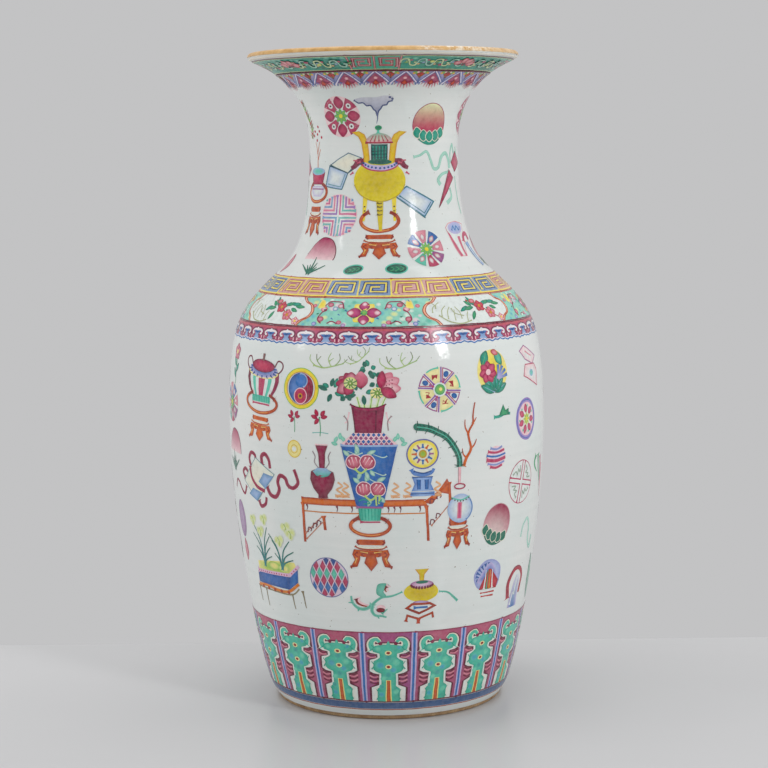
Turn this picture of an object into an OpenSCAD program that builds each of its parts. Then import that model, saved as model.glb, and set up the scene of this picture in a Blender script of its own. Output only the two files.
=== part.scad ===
// Baluster vase: porcelain body in luted sections, glaze skins, dressed lip and enamel bands.
// Millimetres, +Z up, origin on the axis at the foot's resting plane.

/* [Overall size] */
// Height from the resting plane to the top of the lip
vase_h = 450; // [440:1:470]
// Outer diameter of the mouth
mouth_d = 187; // [180:1:194]
// Diameter of the neck at its narrowest
waist_d = 102.8; // [96:0.2:110]
// Diameter at the joint where the shoulder turns up into the neck
turn_d = 146; // [140:1:150]
// Widest diameter of the body
belly_d = 221; // [214:1:228]
// Diameter at the top of the foot ring
foot_top_d = 168; // [162:1:172]
// Diameter of the foot where the glaze stops
foot_edge_d = 159.8; // [158.6:0.2:162]
// Outer diameter of the foot at the resting plane
rest_d = 157; // [154:0.5:158]
// Inner diameter of the foot ring at the resting plane
ring_inner_d = 143; // [136:1:146]

/* [Heights of the stations] */
// Height of the narrowest part of the neck
waist_z = 387; // [380:1:394]
// Height of the joint between shoulder and neck
turn_z = 301.5; // [296:0.5:306]
// Height of the widest part, where the two body sections are luted
belly_z = 193; // [185:1:200]
// Height of the foot ring
foot_h = 10; // [9:0.5:12]
// Height of the bare edge below the glaze
bare_h = 3; // [2:0.5:4]

/* [Lean of the wall at the stations] */
// Lean of the underside of the mouth from the vertical, degrees
lip_lean = 60; // [55:1:68]
// Lean of the wall at the shoulder turn, inwards going up, degrees
turn_lean = 47.5; // [44:0.5:50]
// Lean of the wall at the top of the foot, outwards going up, degrees
foot_lean = 23; // [20:1:26]
// Lean of the foot at the glaze line, degrees
edge_lean = 31; // [26:1:36]

/* [Thickness] */
// Thickness of the rounded lip, glaze included
lip_t = 5.8; // [5:0.2:7]
// Thickness of the clay wall at the foot
wall_foot = 8; // [6:0.5:10]
// Thickness of the clay floor
floor_t = 9; // [7:0.5:12]
// Thickness of each glaze skin
glaze_t = 0.4; // [0.3:0.1:0.6]
// Thickness of the enamel bands
enamel_t = 0.15; // [0.1:0.05:0.3]
// Rounding between the foot ring and the underside of the floor
recess_r = 6; // [4:0.5:7]

/* [Enamel bands, heights of their lower and upper edges] */
// Green and turquoise band below the lip
lip_band = [434.6, 444.2];
// Fringe of small flower panels under the lip band
fringe_band = [426.4, 434.2];
// Fret band round the foot of the neck
fret_band = [287.2, 298.8];
// Turquoise ground round the shoulder
shoulder_band = [268.4, 286.8];
// Pink and turquoise lappets above the foot
lappet_band = [14, 64.8];
// Blue line round the foot
foot_line = [8, 13.4];

/* [Hidden] */
$fn = 180;
steps = 24;          // pieces in each curved stretch
edge_steps = 6;      // pieces in each short curve
band_step = 2;       // spacing of the points across an enamel band

lip_r = lip_t / 2;
wall_lip = lip_t - 2 * glaze_t;
lip_centre = [mouth_d / 2 - lip_r, vase_h - lip_r];
lip_edge = lip_centre + lip_r * [cos(lip_lean), -sin(lip_lean)];
floor_z = foot_h + floor_t;
heel_z = floor_z + 24;                    // height where the cavity leaves the floor's rounding
heel_r = foot_top_d / 2 - 34;             // radius where the flat of the floor ends
gild_start = 0;                           // the dressing runs from the outermost point of the lip
gild_end = 180 - lip_lean;                // over the top to where the inside of the mouth begins
foot_bevel = 0.8;                         // bevel of the resting edges
ring_lean = 1;                            // how much wider the recess is at the resting plane

// A station is [radius, height, lean outwards going up, pull below, pull above]. The pulls are the
// lengths of the handles that carry the curve away from the station.
edge_station = [foot_edge_d / 2, bare_h, edge_lean, 0, 3];
foot_station = [foot_top_d / 2, foot_h, foot_lean, 3, 20];
belly_station = [belly_d / 2, belly_z, 0, 66, 73];
turn_station = [turn_d / 2, turn_z, -turn_lean, 40.5, 18];
waist_station = [waist_d / 2, waist_z, 0, 52, 47];
lip_station = [lip_edge[0], lip_edge[1], lip_lean, 1.5, 0];

function place(s) = [s[0], s[1]];
function heading(s) = [sin(s[2]), cos(s[2])];
function bezier(a, b, c, d, t) =
    pow(1 - t, 3) * a + 3 * t * pow(1 - t, 2) * b + 3 * t * t * (1 - t) * c + pow(t, 3) * d;
function bezier_way(a, b, c, d, t) =
    pow(1 - t, 2) * (b - a) + 2 * t * (1 - t) * (c - b) + t * t * (d - c);
function outwards(way) = [way[1], -way[0]] / norm(way);

// Clay thickness, from wall_foot at the resting plane to wall_lip at the lip
function clay(z) = wall_lip + (wall_foot - wall_lip) * (1 - z / lip_edge[1]);

// Points from station a up to station b, sunk below the glaze surface by depth, and by the
// thickness of the clay as well when through is 1
function stretch(a, b, depth = 0, through = 0, n = steps) =
    let (p0 = place(a), p1 = place(a) + a[4] * heading(a),
         p2 = place(b) - b[3] * heading(b), p3 = place(b))
    [for (i = [0:n])
        let (p = bezier(p0, p1, p2, p3, i / n), way = bezier_way(p0, p1, p2, p3, i / n))
        p - (depth + through * clay(p[1])) * outwards(way)];

function arc(centre, r, from, to, n = edge_steps) =
    [for (i = [0:n]) let (a = from + (to - from) * i / n) centre + r * [cos(a), sin(a)]];
function backwards(points) = [for (i = [len(points) - 1:-1:0]) points[i]];
function above(points, z) = [for (p = points) if (p[1] > z) p];

// The whole glaze surface from the glaze line to the lip, at a depth below it
function outside(depth) = concat(
    stretch(edge_station, foot_station, depth, 0, edge_steps),
    stretch(foot_station, belly_station, depth),
    stretch(belly_station, turn_station, depth),
    stretch(turn_station, waist_station, depth),
    stretch(waist_station, lip_station, depth));

// The cavity below the belly: flat floor, rounded heel, then the wall
function heel(depth) =
    let (wall = above(stretch(foot_station, belly_station, depth, 1), heel_z),
         way = (wall[1] - wall[0]) / norm(wall[1] - wall[0]),
         lift = depth - glaze_t, start = [heel_r, floor_z + lift], pull = 0.55 * norm(wall[0] - start))
    concat([[0, floor_z + lift]],
        [for (i = [0:steps / 2 - 1])
            bezier(start, start + [pull, 0], wall[0] - pull * way, wall[0], 2 * i / steps)],
        wall);

// The whole inside from the middle of the floor to the lip
function inside(depth) = concat(
    heel(depth),
    stretch(belly_station, turn_station, depth, 1),
    stretch(turn_station, waist_station, depth, 1),
    stretch(waist_station, lip_station, depth, 1));

// The inner side of the foot ring up to the underside of the floor, with depth of glaze on it
function ring_side(depth) =
    let (side_r = ring_inner_d / 2 - ring_lean)
    concat([[side_r - depth, bare_h]],
        arc([side_r - recess_r, foot_h - recess_r], recess_r - depth, 0, 90));
// The whole recess, on to the middle of the underside
function recess(depth) = concat(ring_side(depth), [[0, foot_h - depth]]);

profile = [for (p = outside(0)) [p[1], p[0]]];
function radius_at(z) = lookup(z, profile);
function out_from(z) = outwards([radius_at(z + 0.5) - radius_at(z - 0.5), 1]);

module turned(points) {
    rotate_extrude() polygon(points);
}

module neck_section() {
    color("gainsboro") turned(concat(
        stretch(turn_station, waist_station, glaze_t),
        stretch(waist_station, lip_station, glaze_t),
        arc(lip_centre, lip_r - glaze_t, -lip_lean, gild_end, 2 * edge_steps),
        backwards(stretch(waist_station, lip_station, glaze_t, 1)),
        backwards(stretch(turn_station, waist_station, glaze_t, 1))));
}

module upper_body_section() {
    color("gainsboro") turned(concat(
        stretch(belly_station, turn_station, glaze_t),
        backwards(stretch(belly_station, turn_station, glaze_t, 1))));
}

module lower_body_section() {
    color("gainsboro") turned(concat(
        [[0, foot_h]],
        stretch(foot_station, belly_station, glaze_t),
        backwards(heel(glaze_t))));
}

module foot_ring() {
    color("tan") turned(concat(
        [[rest_d / 2 - foot_bevel, 0], [rest_d / 2 + foot_bevel / 2, foot_bevel]],
        stretch(edge_station, foot_station, glaze_t, 0, edge_steps),
        backwards(ring_side(0)),
        [[ring_inner_d / 2, foot_bevel], [ring_inner_d / 2 + foot_bevel, 0]]));
}

module outer_glaze() {
    color("honeydew") turned(concat(
        outside(0),
        arc(lip_centre, lip_r, -lip_lean, gild_start),
        arc(lip_centre, lip_r - glaze_t, gild_start, -lip_lean),
        backwards(outside(glaze_t))));
}

module inner_glaze() {
    color("mintcream") turned(concat(inside(glaze_t), backwards(inside(2 * glaze_t))));
}

module base_glaze() {
    color("azure") turned(concat(recess(0), backwards(recess(glaze_t))));
}

module lip_gilding() {
    color("goldenrod") turned(concat(
        arc(lip_centre, lip_r, gild_start, gild_end, 2 * edge_steps),
        arc(lip_centre, lip_r - glaze_t, gild_end, gild_start, 2 * edge_steps)));
}

module enamel_band(band) {
    count = ceil((band[1] - band[0]) / band_step);
    heights = [for (i = [0:count]) band[0] + (band[1] - band[0]) * i / count];
    turned(concat(
        [for (z = heights) [radius_at(z), z]],
        [for (z = backwards(heights)) [radius_at(z), z] + enamel_t * out_from(z)]));
}

module enamel_bands() {
    color("mediumaquamarine") {
        enamel_band(lip_band);
        enamel_band(shoulder_band);
    }
    color("indianred") enamel_band(fringe_band);
    color("khaki") enamel_band(fret_band);
    color("orchid") enamel_band(lappet_band);
    color("steelblue") enamel_band(foot_line);
}

neck_section();
upper_body_section();
lower_body_section();
foot_ring();
outer_glaze();
inner_glaze();
base_glaze();
lip_gilding();
enamel_bands();
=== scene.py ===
"""The looks of a porcelain baluster vase: glaze, bare foot, dressed lip and overglaze enamel painting.

Lengths are in millimetres, and MM turns them into Blender's metres. Angles round the vase are in
degrees from the front, positive towards its right-hand side (+X). A colour is six hexadecimal digits,
or a tuple of linear values.
"""

import math
from bisect import bisect_right

import bpy
from mathutils import Matrix, Vector, noise


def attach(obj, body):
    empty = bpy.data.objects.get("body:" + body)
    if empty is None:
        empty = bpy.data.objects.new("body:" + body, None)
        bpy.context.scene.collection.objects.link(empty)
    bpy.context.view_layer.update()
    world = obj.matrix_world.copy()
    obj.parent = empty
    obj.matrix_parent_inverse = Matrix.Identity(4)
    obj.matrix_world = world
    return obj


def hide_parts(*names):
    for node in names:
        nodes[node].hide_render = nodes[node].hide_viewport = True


MM = 0.001

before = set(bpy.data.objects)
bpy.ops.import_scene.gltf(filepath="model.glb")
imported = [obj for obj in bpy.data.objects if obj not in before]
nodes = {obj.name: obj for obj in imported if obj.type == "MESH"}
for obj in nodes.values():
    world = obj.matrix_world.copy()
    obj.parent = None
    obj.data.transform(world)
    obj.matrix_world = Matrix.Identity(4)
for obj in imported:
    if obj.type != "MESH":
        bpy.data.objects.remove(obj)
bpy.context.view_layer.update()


# --- Camera and light -------------------------------------------------------------------------

CAMERA_AT = (-1.6, -1380, 381.7)
CAMERA_LENS = 92.5
CAMERA_SENSOR = 36
CAMERA_TILT = 6.7           # degrees below the horizon
CAMERA_ROLL = 0.62          # degrees
GREY = 0.545                # linear value of the pale grey surroundings
COOLER = 1.01               # how much more blue they have than red and green
LIGHT_TARGET = (0, 0, 250)

# Name, azimuth from the front, elevation, distance, width, height, power, and whether the glaze mirrors it
LIGHTS = (
    ("key_strip", 42, 28, 1700, 190, 860, 9, True),
    ("fill_strip", -66, 27, 1700, 120, 700, 1.2, True),
    ("overhead", 175, 74, 1500, 1500, 1500, 10, True),
    ("front", -25, 30, 1900, 1400, 900, 1.8, False),
    ("left_side", -95, 18, 1500, 1200, 1200, 8, False),
    ("right_side", 95, 18, 1500, 1200, 1200, 3.5, False),
)


def make_camera():
    data = bpy.data.cameras.new("camera")
    data.lens = CAMERA_LENS
    data.sensor_width = CAMERA_SENSOR
    camera = bpy.data.objects.new("camera", data)
    camera.matrix_world = (
        Matrix.Translation(Vector(CAMERA_AT) * MM)
        @ Matrix.Rotation(math.radians(90 - CAMERA_TILT), 4, "X")
        @ Matrix.Rotation(math.radians(-CAMERA_ROLL), 4, "Z")
    )
    bpy.context.collection.objects.link(camera)
    bpy.context.scene.camera = camera


def make_world():
    world = bpy.data.worlds.new("surroundings")
    world.use_nodes = True
    background = world.node_tree.nodes["Background"]
    background.inputs["Color"].default_value = (GREY, GREY, GREY * COOLER, 1)
    background.inputs["Strength"].default_value = 1.0
    bpy.context.scene.world = world
    bpy.context.scene.view_settings.view_transform = "Standard"


def make_light(name, azimuth, elevation, distance, width, height, power, mirrored_in_glaze):
    """A soft box that faces the vase."""
    data = bpy.data.lights.new(name, "AREA")
    data.shape = "RECTANGLE"
    data.size = width * MM
    data.size_y = height * MM
    data.energy = power
    light = bpy.data.objects.new(name, data)
    light.visible_glossy = mirrored_in_glaze
    a, e = math.radians(azimuth), math.radians(elevation)
    way = Vector((math.sin(a) * math.cos(e), -math.cos(a) * math.cos(e), math.sin(e)))
    light.location = Vector(LIGHT_TARGET) * MM + way * distance * MM
    light.rotation_euler = way.to_track_quat("Z", "Y").to_euler()
    bpy.context.collection.objects.link(light)


# --- The wall: the glaze surface as a profile --------------------------------------------------

WALL_LOW, WALL_HIGH = 3.2, 446.4    # heights between which the profile is measured
WALL_STEP = 1.5                     # spacing of the measured points
SMOOTHINGS = 2                      # times the facets of the CAD surface are evened out
RAY_START = (300, 0.02)             # each ray runs from here to the axis, just beside the mesh's seam
RIPPLE = 0.05                       # height of the throwing rings left in the glaze


def interval(values, value):
    """Which two neighbours hold a value between them, and how far along it lies."""
    i = min(max(bisect_right(values, value) - 1, 0), len(values) - 2)
    return i, (value - values[i]) / (values[i + 1] - values[i])


class Wall:
    """Radius and height of the glaze surface against the distance along its profile."""

    def __init__(self, node):
        points = []
        count = round((WALL_HIGH - WALL_LOW) / WALL_STEP)
        for i in range(count + 1):
            z = WALL_LOW + (WALL_HIGH - WALL_LOW) * i / count
            hit, place, _, _ = node.ray_cast(Vector((*RAY_START, z)) * MM, Vector((-1, 0, 0)))
            if hit:
                points.append((math.hypot(place.x, place.y) / MM, z))
        for _ in range(SMOOTHINGS):
            inner = [(0.25 * a[0] + 0.5 * b[0] + 0.25 * c[0], b[1])
                     for a, b, c in zip(points, points[1:], points[2:])]
            points = [points[0], *inner, points[-1]]
        self.points = points
        self.heights = [p[1] for p in points]
        self.along = [0.0]
        for a, b in zip(points, points[1:]):
            self.along.append(self.along[-1] + math.dist(a, b))

    def distance(self, height):
        """Distance along the profile of a height."""
        i, share = interval(self.heights, height)
        return self.along[i] + share * (self.along[i + 1] - self.along[i])

    def radius(self, distance):
        return self.raised(distance, 0)[0]

    def raised(self, distance, lift):
        """Radius and height of a point that stands off the surface by lift."""
        i, share = interval(self.along, distance)
        (r0, z0), (r1, z1) = self.points[i:i + 2]
        length = self.along[i + 1] - self.along[i]
        return (r0 + share * (r1 - r0) + lift * ((z1 - z0) / length),
                z0 + share * (z1 - z0) + lift * ((r0 - r1) / length))

    def ripple(self, distance):
        """Height of the turned rings, which are about 7 mm apart and of uneven strength."""
        uneven = 0.6 + 0.4 * math.sin(distance / 37.0) * math.sin(distance / 11.3 + 1.0)
        return RIPPLE * uneven * math.sin(distance / 1.15 + 1.7 * math.sin(distance / 9.0))


# --- Materials --------------------------------------------------------------------------------

LIP_HIGHLIGHT_SPAN = (0.018, 0.03, 0.06, 0.075)   # metres to the right where the lip's painted highlight starts, is full, fades, ends


def linear(colour):
    """The linear values of a colour."""
    if isinstance(colour, tuple):
        return colour
    parts = [int(colour[i:i + 2], 16) / 255 for i in (0, 2, 4)]
    return tuple(c / 12.92 if c <= 0.04045 else ((c + 0.055) / 1.055) ** 2.4 for c in parts)


class Nodes:
    """Short calls for building a material's node tree. Noise sizes are in millimetres."""

    def __init__(self, name, roughness):
        self.material = bpy.data.materials.new(name)
        self.material.use_nodes = True
        self.tree = self.material.node_tree
        self.shader = self.tree.nodes["Principled BSDF"]
        self.shader.inputs["Roughness"].default_value = roughness
        self.place = self.node("TexCoord").outputs["Object"]

    def node(self, kind, **constants):
        """A new node, with constants set on the sockets of the same name."""
        node = self.tree.nodes.new("ShaderNode" + kind)
        for socket, value in constants.items():
            node.inputs[socket.replace("_", " ")].default_value = value
        return node

    def link(self, a, b):
        self.tree.links.new(a, b)

    def stretched(self, x, y, z):
        node = self.node("Mapping", Scale=(x, y, z))
        self.link(self.place, node.inputs["Vector"])
        return node.outputs["Vector"]

    def noise(self, size, detail=3.0, rough=0.5, vector=None):
        node = self.node("TexNoise", Scale=1 / (size * MM), Detail=detail, Roughness=rough)
        self.link(vector or self.place, node.inputs["Vector"])
        return node.outputs["Fac"]

    def ramp(self, value, low, high, start=0.0, end=1.0):
        node = self.node("MapRange", From_Min=low, From_Max=high, To_Min=start, To_Max=end)
        self.link(value, node.inputs["Value"])
        return node.outputs["Result"]

    def product(self, a, b):
        node = self.node("Math")
        node.operation = "MULTIPLY"
        self.link(a, node.inputs[0])
        self.link(b, node.inputs[1])
        return node.outputs["Value"]

    def mix(self, share, a, b, mode="MIX"):
        node = self.node("Mix")
        node.data_type = "RGBA"
        node.blend_type = mode
        for name, value in (("Factor", share), ("A", a), ("B", b)):
            socket = next(s for s in node.inputs if s.name == name and s.enabled)
            if isinstance(value, (str, tuple)):
                socket.default_value = (*linear(value), 1)
            else:
                self.link(value, socket)
        return next(s for s in node.outputs if s.enabled)

    def finished(self, colour, bumps, height):
        """The material, with its colour and with bumps of this height."""
        self.link(colour, self.shader.inputs["Base Color"])
        node = self.node("Bump", Distance=height * MM, Strength=1.0)
        self.link(bumps, node.inputs["Height"])
        self.link(node.outputs["Normal"], self.shader.inputs["Normal"])
        return self.material


def glaze_material():
    n = Nodes("clear_glaze", 0.1)
    body = n.mix(n.ramp(n.noise(45, 2), 0.35, 0.65), "e1e3e0", "dbe1de")
    rings = n.noise(3.0, 2, 0.6, n.stretched(0.03, 0.03, 1))
    body = n.mix(n.ramp(rings, 0.35, 0.75, 0, 0.2), body, "c9d3d0")
    specks = n.ramp(n.noise(1.6, 1, 0.4), 0.765, 0.81)
    body = n.mix(specks, body, "8a7f70")
    return n.finished(body, n.noise(7, 3, 0.6), 0.16)


def foot_material():
    n = Nodes("bare_foot", 0.85)
    body = n.mix(n.ramp(n.noise(6, 4, 0.6), 0.3, 0.7), "8e6b4a", "b89c76")
    body = n.mix(n.ramp(n.noise(0.9, 3, 0.7), 0.5, 0.75), body, "5d4630")
    return n.finished(body, n.noise(0.8, 4, 0.7), 0.12)


def lip_material():
    n = Nodes("lip_dressing", 0.32)
    body = n.mix(n.ramp(n.noise(5, 4, 0.6), 0.3, 0.7), "b98a45", "dcb377")
    place = n.node("SeparateXYZ")
    n.link(n.place, place.inputs["Vector"])
    across = place.outputs["X"]
    # Paler cream patches across the right-hand side of the lip, broken up by noise: a painted highlight.
    painted_highlight = n.product(n.ramp(n.noise(9, 5, 0.65), 0.44, 0.56), n.ramp(across, *LIP_HIGHLIGHT_SPAN[:2]))
    painted_highlight = n.product(painted_highlight, n.ramp(across, *LIP_HIGHLIGHT_SPAN[2:], 1, 0.25))
    body = n.mix(painted_highlight, body, "eadfca")
    return n.finished(body, n.noise(2.5, 4, 0.6), 0.08)


def clay_material():
    n = Nodes("porcelain_clay", 0.7)
    body = n.mix(n.ramp(n.noise(20, 3), 0.3, 0.7), "e6e2d8", "d9d3c6")
    return n.finished(body, n.noise(1.2, 3), 0.05)


def enamel_material():
    """Takes its colour from the mesh, a little stronger and unevenly washed."""
    n = Nodes("overglaze_enamel", 0.2)
    paint = n.node("Attribute")
    paint.attribute_name = "paint"
    rich = n.node("HueSaturation", Saturation=1.18)
    n.link(paint.outputs["Color"], rich.inputs["Color"])
    body = n.mix(n.ramp(n.noise(2.6, 4, 0.6), 0.3, 0.75, 0, 0.10), rich.outputs["Color"], "e8e6df")
    body = n.mix(n.ramp(n.noise(3.2, 3, 0.6), 0.45, 0.8, 0, 0.22), body, "3d3038", "MULTIPLY")
    return n.finished(body, n.noise(1.6, 3, 0.6), 0.06)


def floor_material():
    n = Nodes("table_top", 0.28)
    body = n.mix(n.ramp(n.noise(240, 2), 0.3, 0.7), (0.525, 0.525, 0.53), (0.55, 0.55, 0.555))
    return n.finished(body, n.noise(3, 2), 0.004)


# --- Turned skin and floor --------------------------------------------------------------------

SEGMENTS = 240              # cells round a turned piece
GLAZE_T = 0.4               # thickness of the glaze
SHARP_EDGE = 40             # degrees between faces from which an edge stays sharp
FLOOR_SIDE = 3000
FLOOR_BEHIND = 137          # how far the floor runs behind the vase


def new_piece(name, vertices, faces, material, sharp_edge=SHARP_EDGE):
    mesh = bpy.data.meshes.new(name)
    mesh.from_pydata(vertices, [], faces)
    mesh.materials.append(material)
    mesh.shade_smooth()
    mesh.set_sharp_from_angle(angle=math.radians(sharp_edge))
    piece = bpy.data.objects.new(name, mesh)
    bpy.context.collection.objects.link(piece)
    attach(piece, "root")
    return piece


def turned(name, loop, material):
    """A closed skin of revolution from a closed loop of (radius, height), anticlockwise."""
    vertices, faces = [], []
    rows = len(loop)
    for i, (r, z) in enumerate(loop):
        j = (i + 1) % rows
        for k in range(SEGMENTS):
            a = 2 * math.pi * k / SEGMENTS
            vertices.append(Vector((r * math.sin(a), -r * math.cos(a), z)) * MM)
            m = (k + 1) % SEGMENTS
            faces.append((i * SEGMENTS + k, i * SEGMENTS + m, j * SEGMENTS + m, j * SEGMENTS + k))
    return new_piece(name, vertices, faces, material)


def make_outer_glaze():
    """The glaze outside, with throwing rings on its face and a plain back."""
    face = [wall.raised(d, wall.ripple(d)) for d in wall.along]
    back = [wall.raised(d, -GLAZE_T) for d in wall.along[::-2]]
    piece = turned("outer_glaze_skin", face + back, glaze)
    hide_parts("outer_glaze")


def make_floor():
    mesh = bpy.data.meshes.new("table_top")
    side, back = FLOOR_SIDE * MM, FLOOR_BEHIND * MM
    corners = [(-side, -side, 0), (side, -side, 0), (side, back, 0), (-side, back, 0)]
    mesh.from_pydata(corners, [], [(0, 1, 2, 3)])
    mesh.materials.append(floor_material())
    floor = bpy.data.objects.new("table_top", mesh)
    bpy.context.collection.objects.link(floor)


# --- Painting: flat shapes laid on the wall ----------------------------------------------------
# A shape is a grid of points in a sheet's own millimetres, x to the right and y up, that bends to the
# wall. Shapes that cross one another are stacked, each a hair above the one under it.

FIRST_LIFT = 0.06           # the lowest layer of enamel above the glaze
LAYER_LIFT = 0.016          # each layer above the one under it
GRAIN = 2.2                 # longest side of a mesh cell
HAND = 0.22                 # how far the painter's hand strays
HAND_SIZE = 7.0             # over what length it strays
HAND_SEED = 1               # the same strays in each run
noise.seed_set(HAND_SEED)
MIRRORED = (-1, 1)          # the two sides of a shape that is the same left and right

WHITE = "dfe5e2"
INK = "4a2a35"
TURQUOISE = "6fc3ad"
DEEP_TURQUOISE = "3f9c88"
ROSE = "b95a72"
DEEP_ROSE = "8f2f4f"
MAROON = "6b1f35"
PINK = "dd9aa6"
PALE_PINK = "efccd0"
MAUVE = "9b6390"
LILAC = "c3b9da"
BLUE = "4f78b0"
DEEP_BLUE = "34548e"
PALE_BLUE = "a3b9da"
YELLOW = "ead76a"
PALE_YELLOW = "efe39a"
OCHRE = "c98f2e"
ORANGE = "cf6a3c"
RUST = "a8432a"
GREEN = "4f9f72"
DEEP_GREEN = "1f6b57"
LEAF = "8dbb62"
CREAM = "e6e3d3"


def blend(a, b, share):
    return tuple(x + (y - x) * share for x, y in zip(a, b))


def tint(a, b, share):
    """A colour between two others."""
    return blend(linear(a), linear(b), share)


def dense(points, closed=False):
    """The same outline with points no further apart than the grain."""
    pairs = zip(points, points[1:] + points[:1]) if closed else zip(points, points[1:])
    made = []
    for a, b in pairs:
        count = max(1, math.ceil(math.dist(a, b) / GRAIN))
        made += [blend(a, b, i / count) for i in range(count)]
    return made if closed else made + [tuple(points[-1])]


def curve(points, closed=False):
    """A smooth line through the points."""
    n = len(points)
    made = []
    for i in range(n if closed else n - 1):
        a, b, c, d = (points[(i + k) % n if closed else min(max(i + k, 0), n - 1)] for k in (-1, 0, 1, 2))
        count = max(2, math.ceil(math.dist(b, c) / (GRAIN * 0.6)))
        for k in range(count):
            t = k / count
            made.append(tuple(
                0.5 * (2 * q + (r - p) * t + (2 * p - 5 * q + 4 * r - s) * t * t
                       + (3 * q - p - 3 * r + s) * t ** 3)
                for p, q, r, s in zip(a, b, c, d)))
    return made if closed else made + [tuple(points[-1])]


def rim(angle, x, y, rx, ry):
    """The point of an ellipse at an angle, anticlockwise from the right."""
    a = math.radians(angle)
    return (x + rx * math.cos(a), y + ry * math.sin(a))


def oval(x, y, rx, ry=None, start=0.0, end=360.0, count=None):
    """Points round an ellipse, or along part of it."""
    ry = rx if ry is None else ry
    count = count or max(8, math.ceil(max(rx, ry) * abs(end - start) / 360 * 6.3 / 1.5))
    whole = abs(end - start) >= 360
    return [rim(start + (end - start) * i / count, x, y, rx, ry) for i in range(count + (not whole))]


def around(count, first=0.0):
    """Angles evenly spaced round a circle."""
    return [first + 360 * k / count for k in range(count)]


def spread(half, count):
    """Places evenly spaced from -half to half."""
    return [-half + 2 * half * i / count for i in range(count + 1)]


def strewn(count, half, low, high, inset, steps):
    """Places spread over a band without any order that shows; steps are the strides across and up."""
    return [(half * (2 * ((k * steps[0]) % 1) - 1), low + inset
             + (high - low - 2 * inset) * ((k * steps[1]) % 1)) for k in range(count)]


def moved(points, x=0.0, y=0.0, turn=0.0, size=1.0):
    c, s = math.cos(math.radians(turn)) * size, math.sin(math.radians(turn)) * size
    return [(x + px * c - py * s, y + px * s + py * c) for px, py in points]


def mirror(points, side):
    """The same points, or with a side of -1 their mirror image."""
    return [(side * x, y) for x, y in points]


def both(half):
    """A whole outline from its right half, given from bottom to top."""
    return half + mirror(half[::-1], -1)


def petal(length, wide):
    """A pointed petal or leaf along +y."""
    side = [(0.42, 0.25), (0.5, 0.58), (0.22, 0.9)]
    half = [(wide * u, length * v) for u, v in side]
    return [(0, 0), *half, (0, length), *mirror(half[::-1], -1)]


def area(points):
    """Twice the area inside an outline, positive when it runs anticlockwise."""
    return sum(a[0] * b[1] - b[0] * a[1] for a, b in zip(points, points[1:] + points[:1]))


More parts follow.
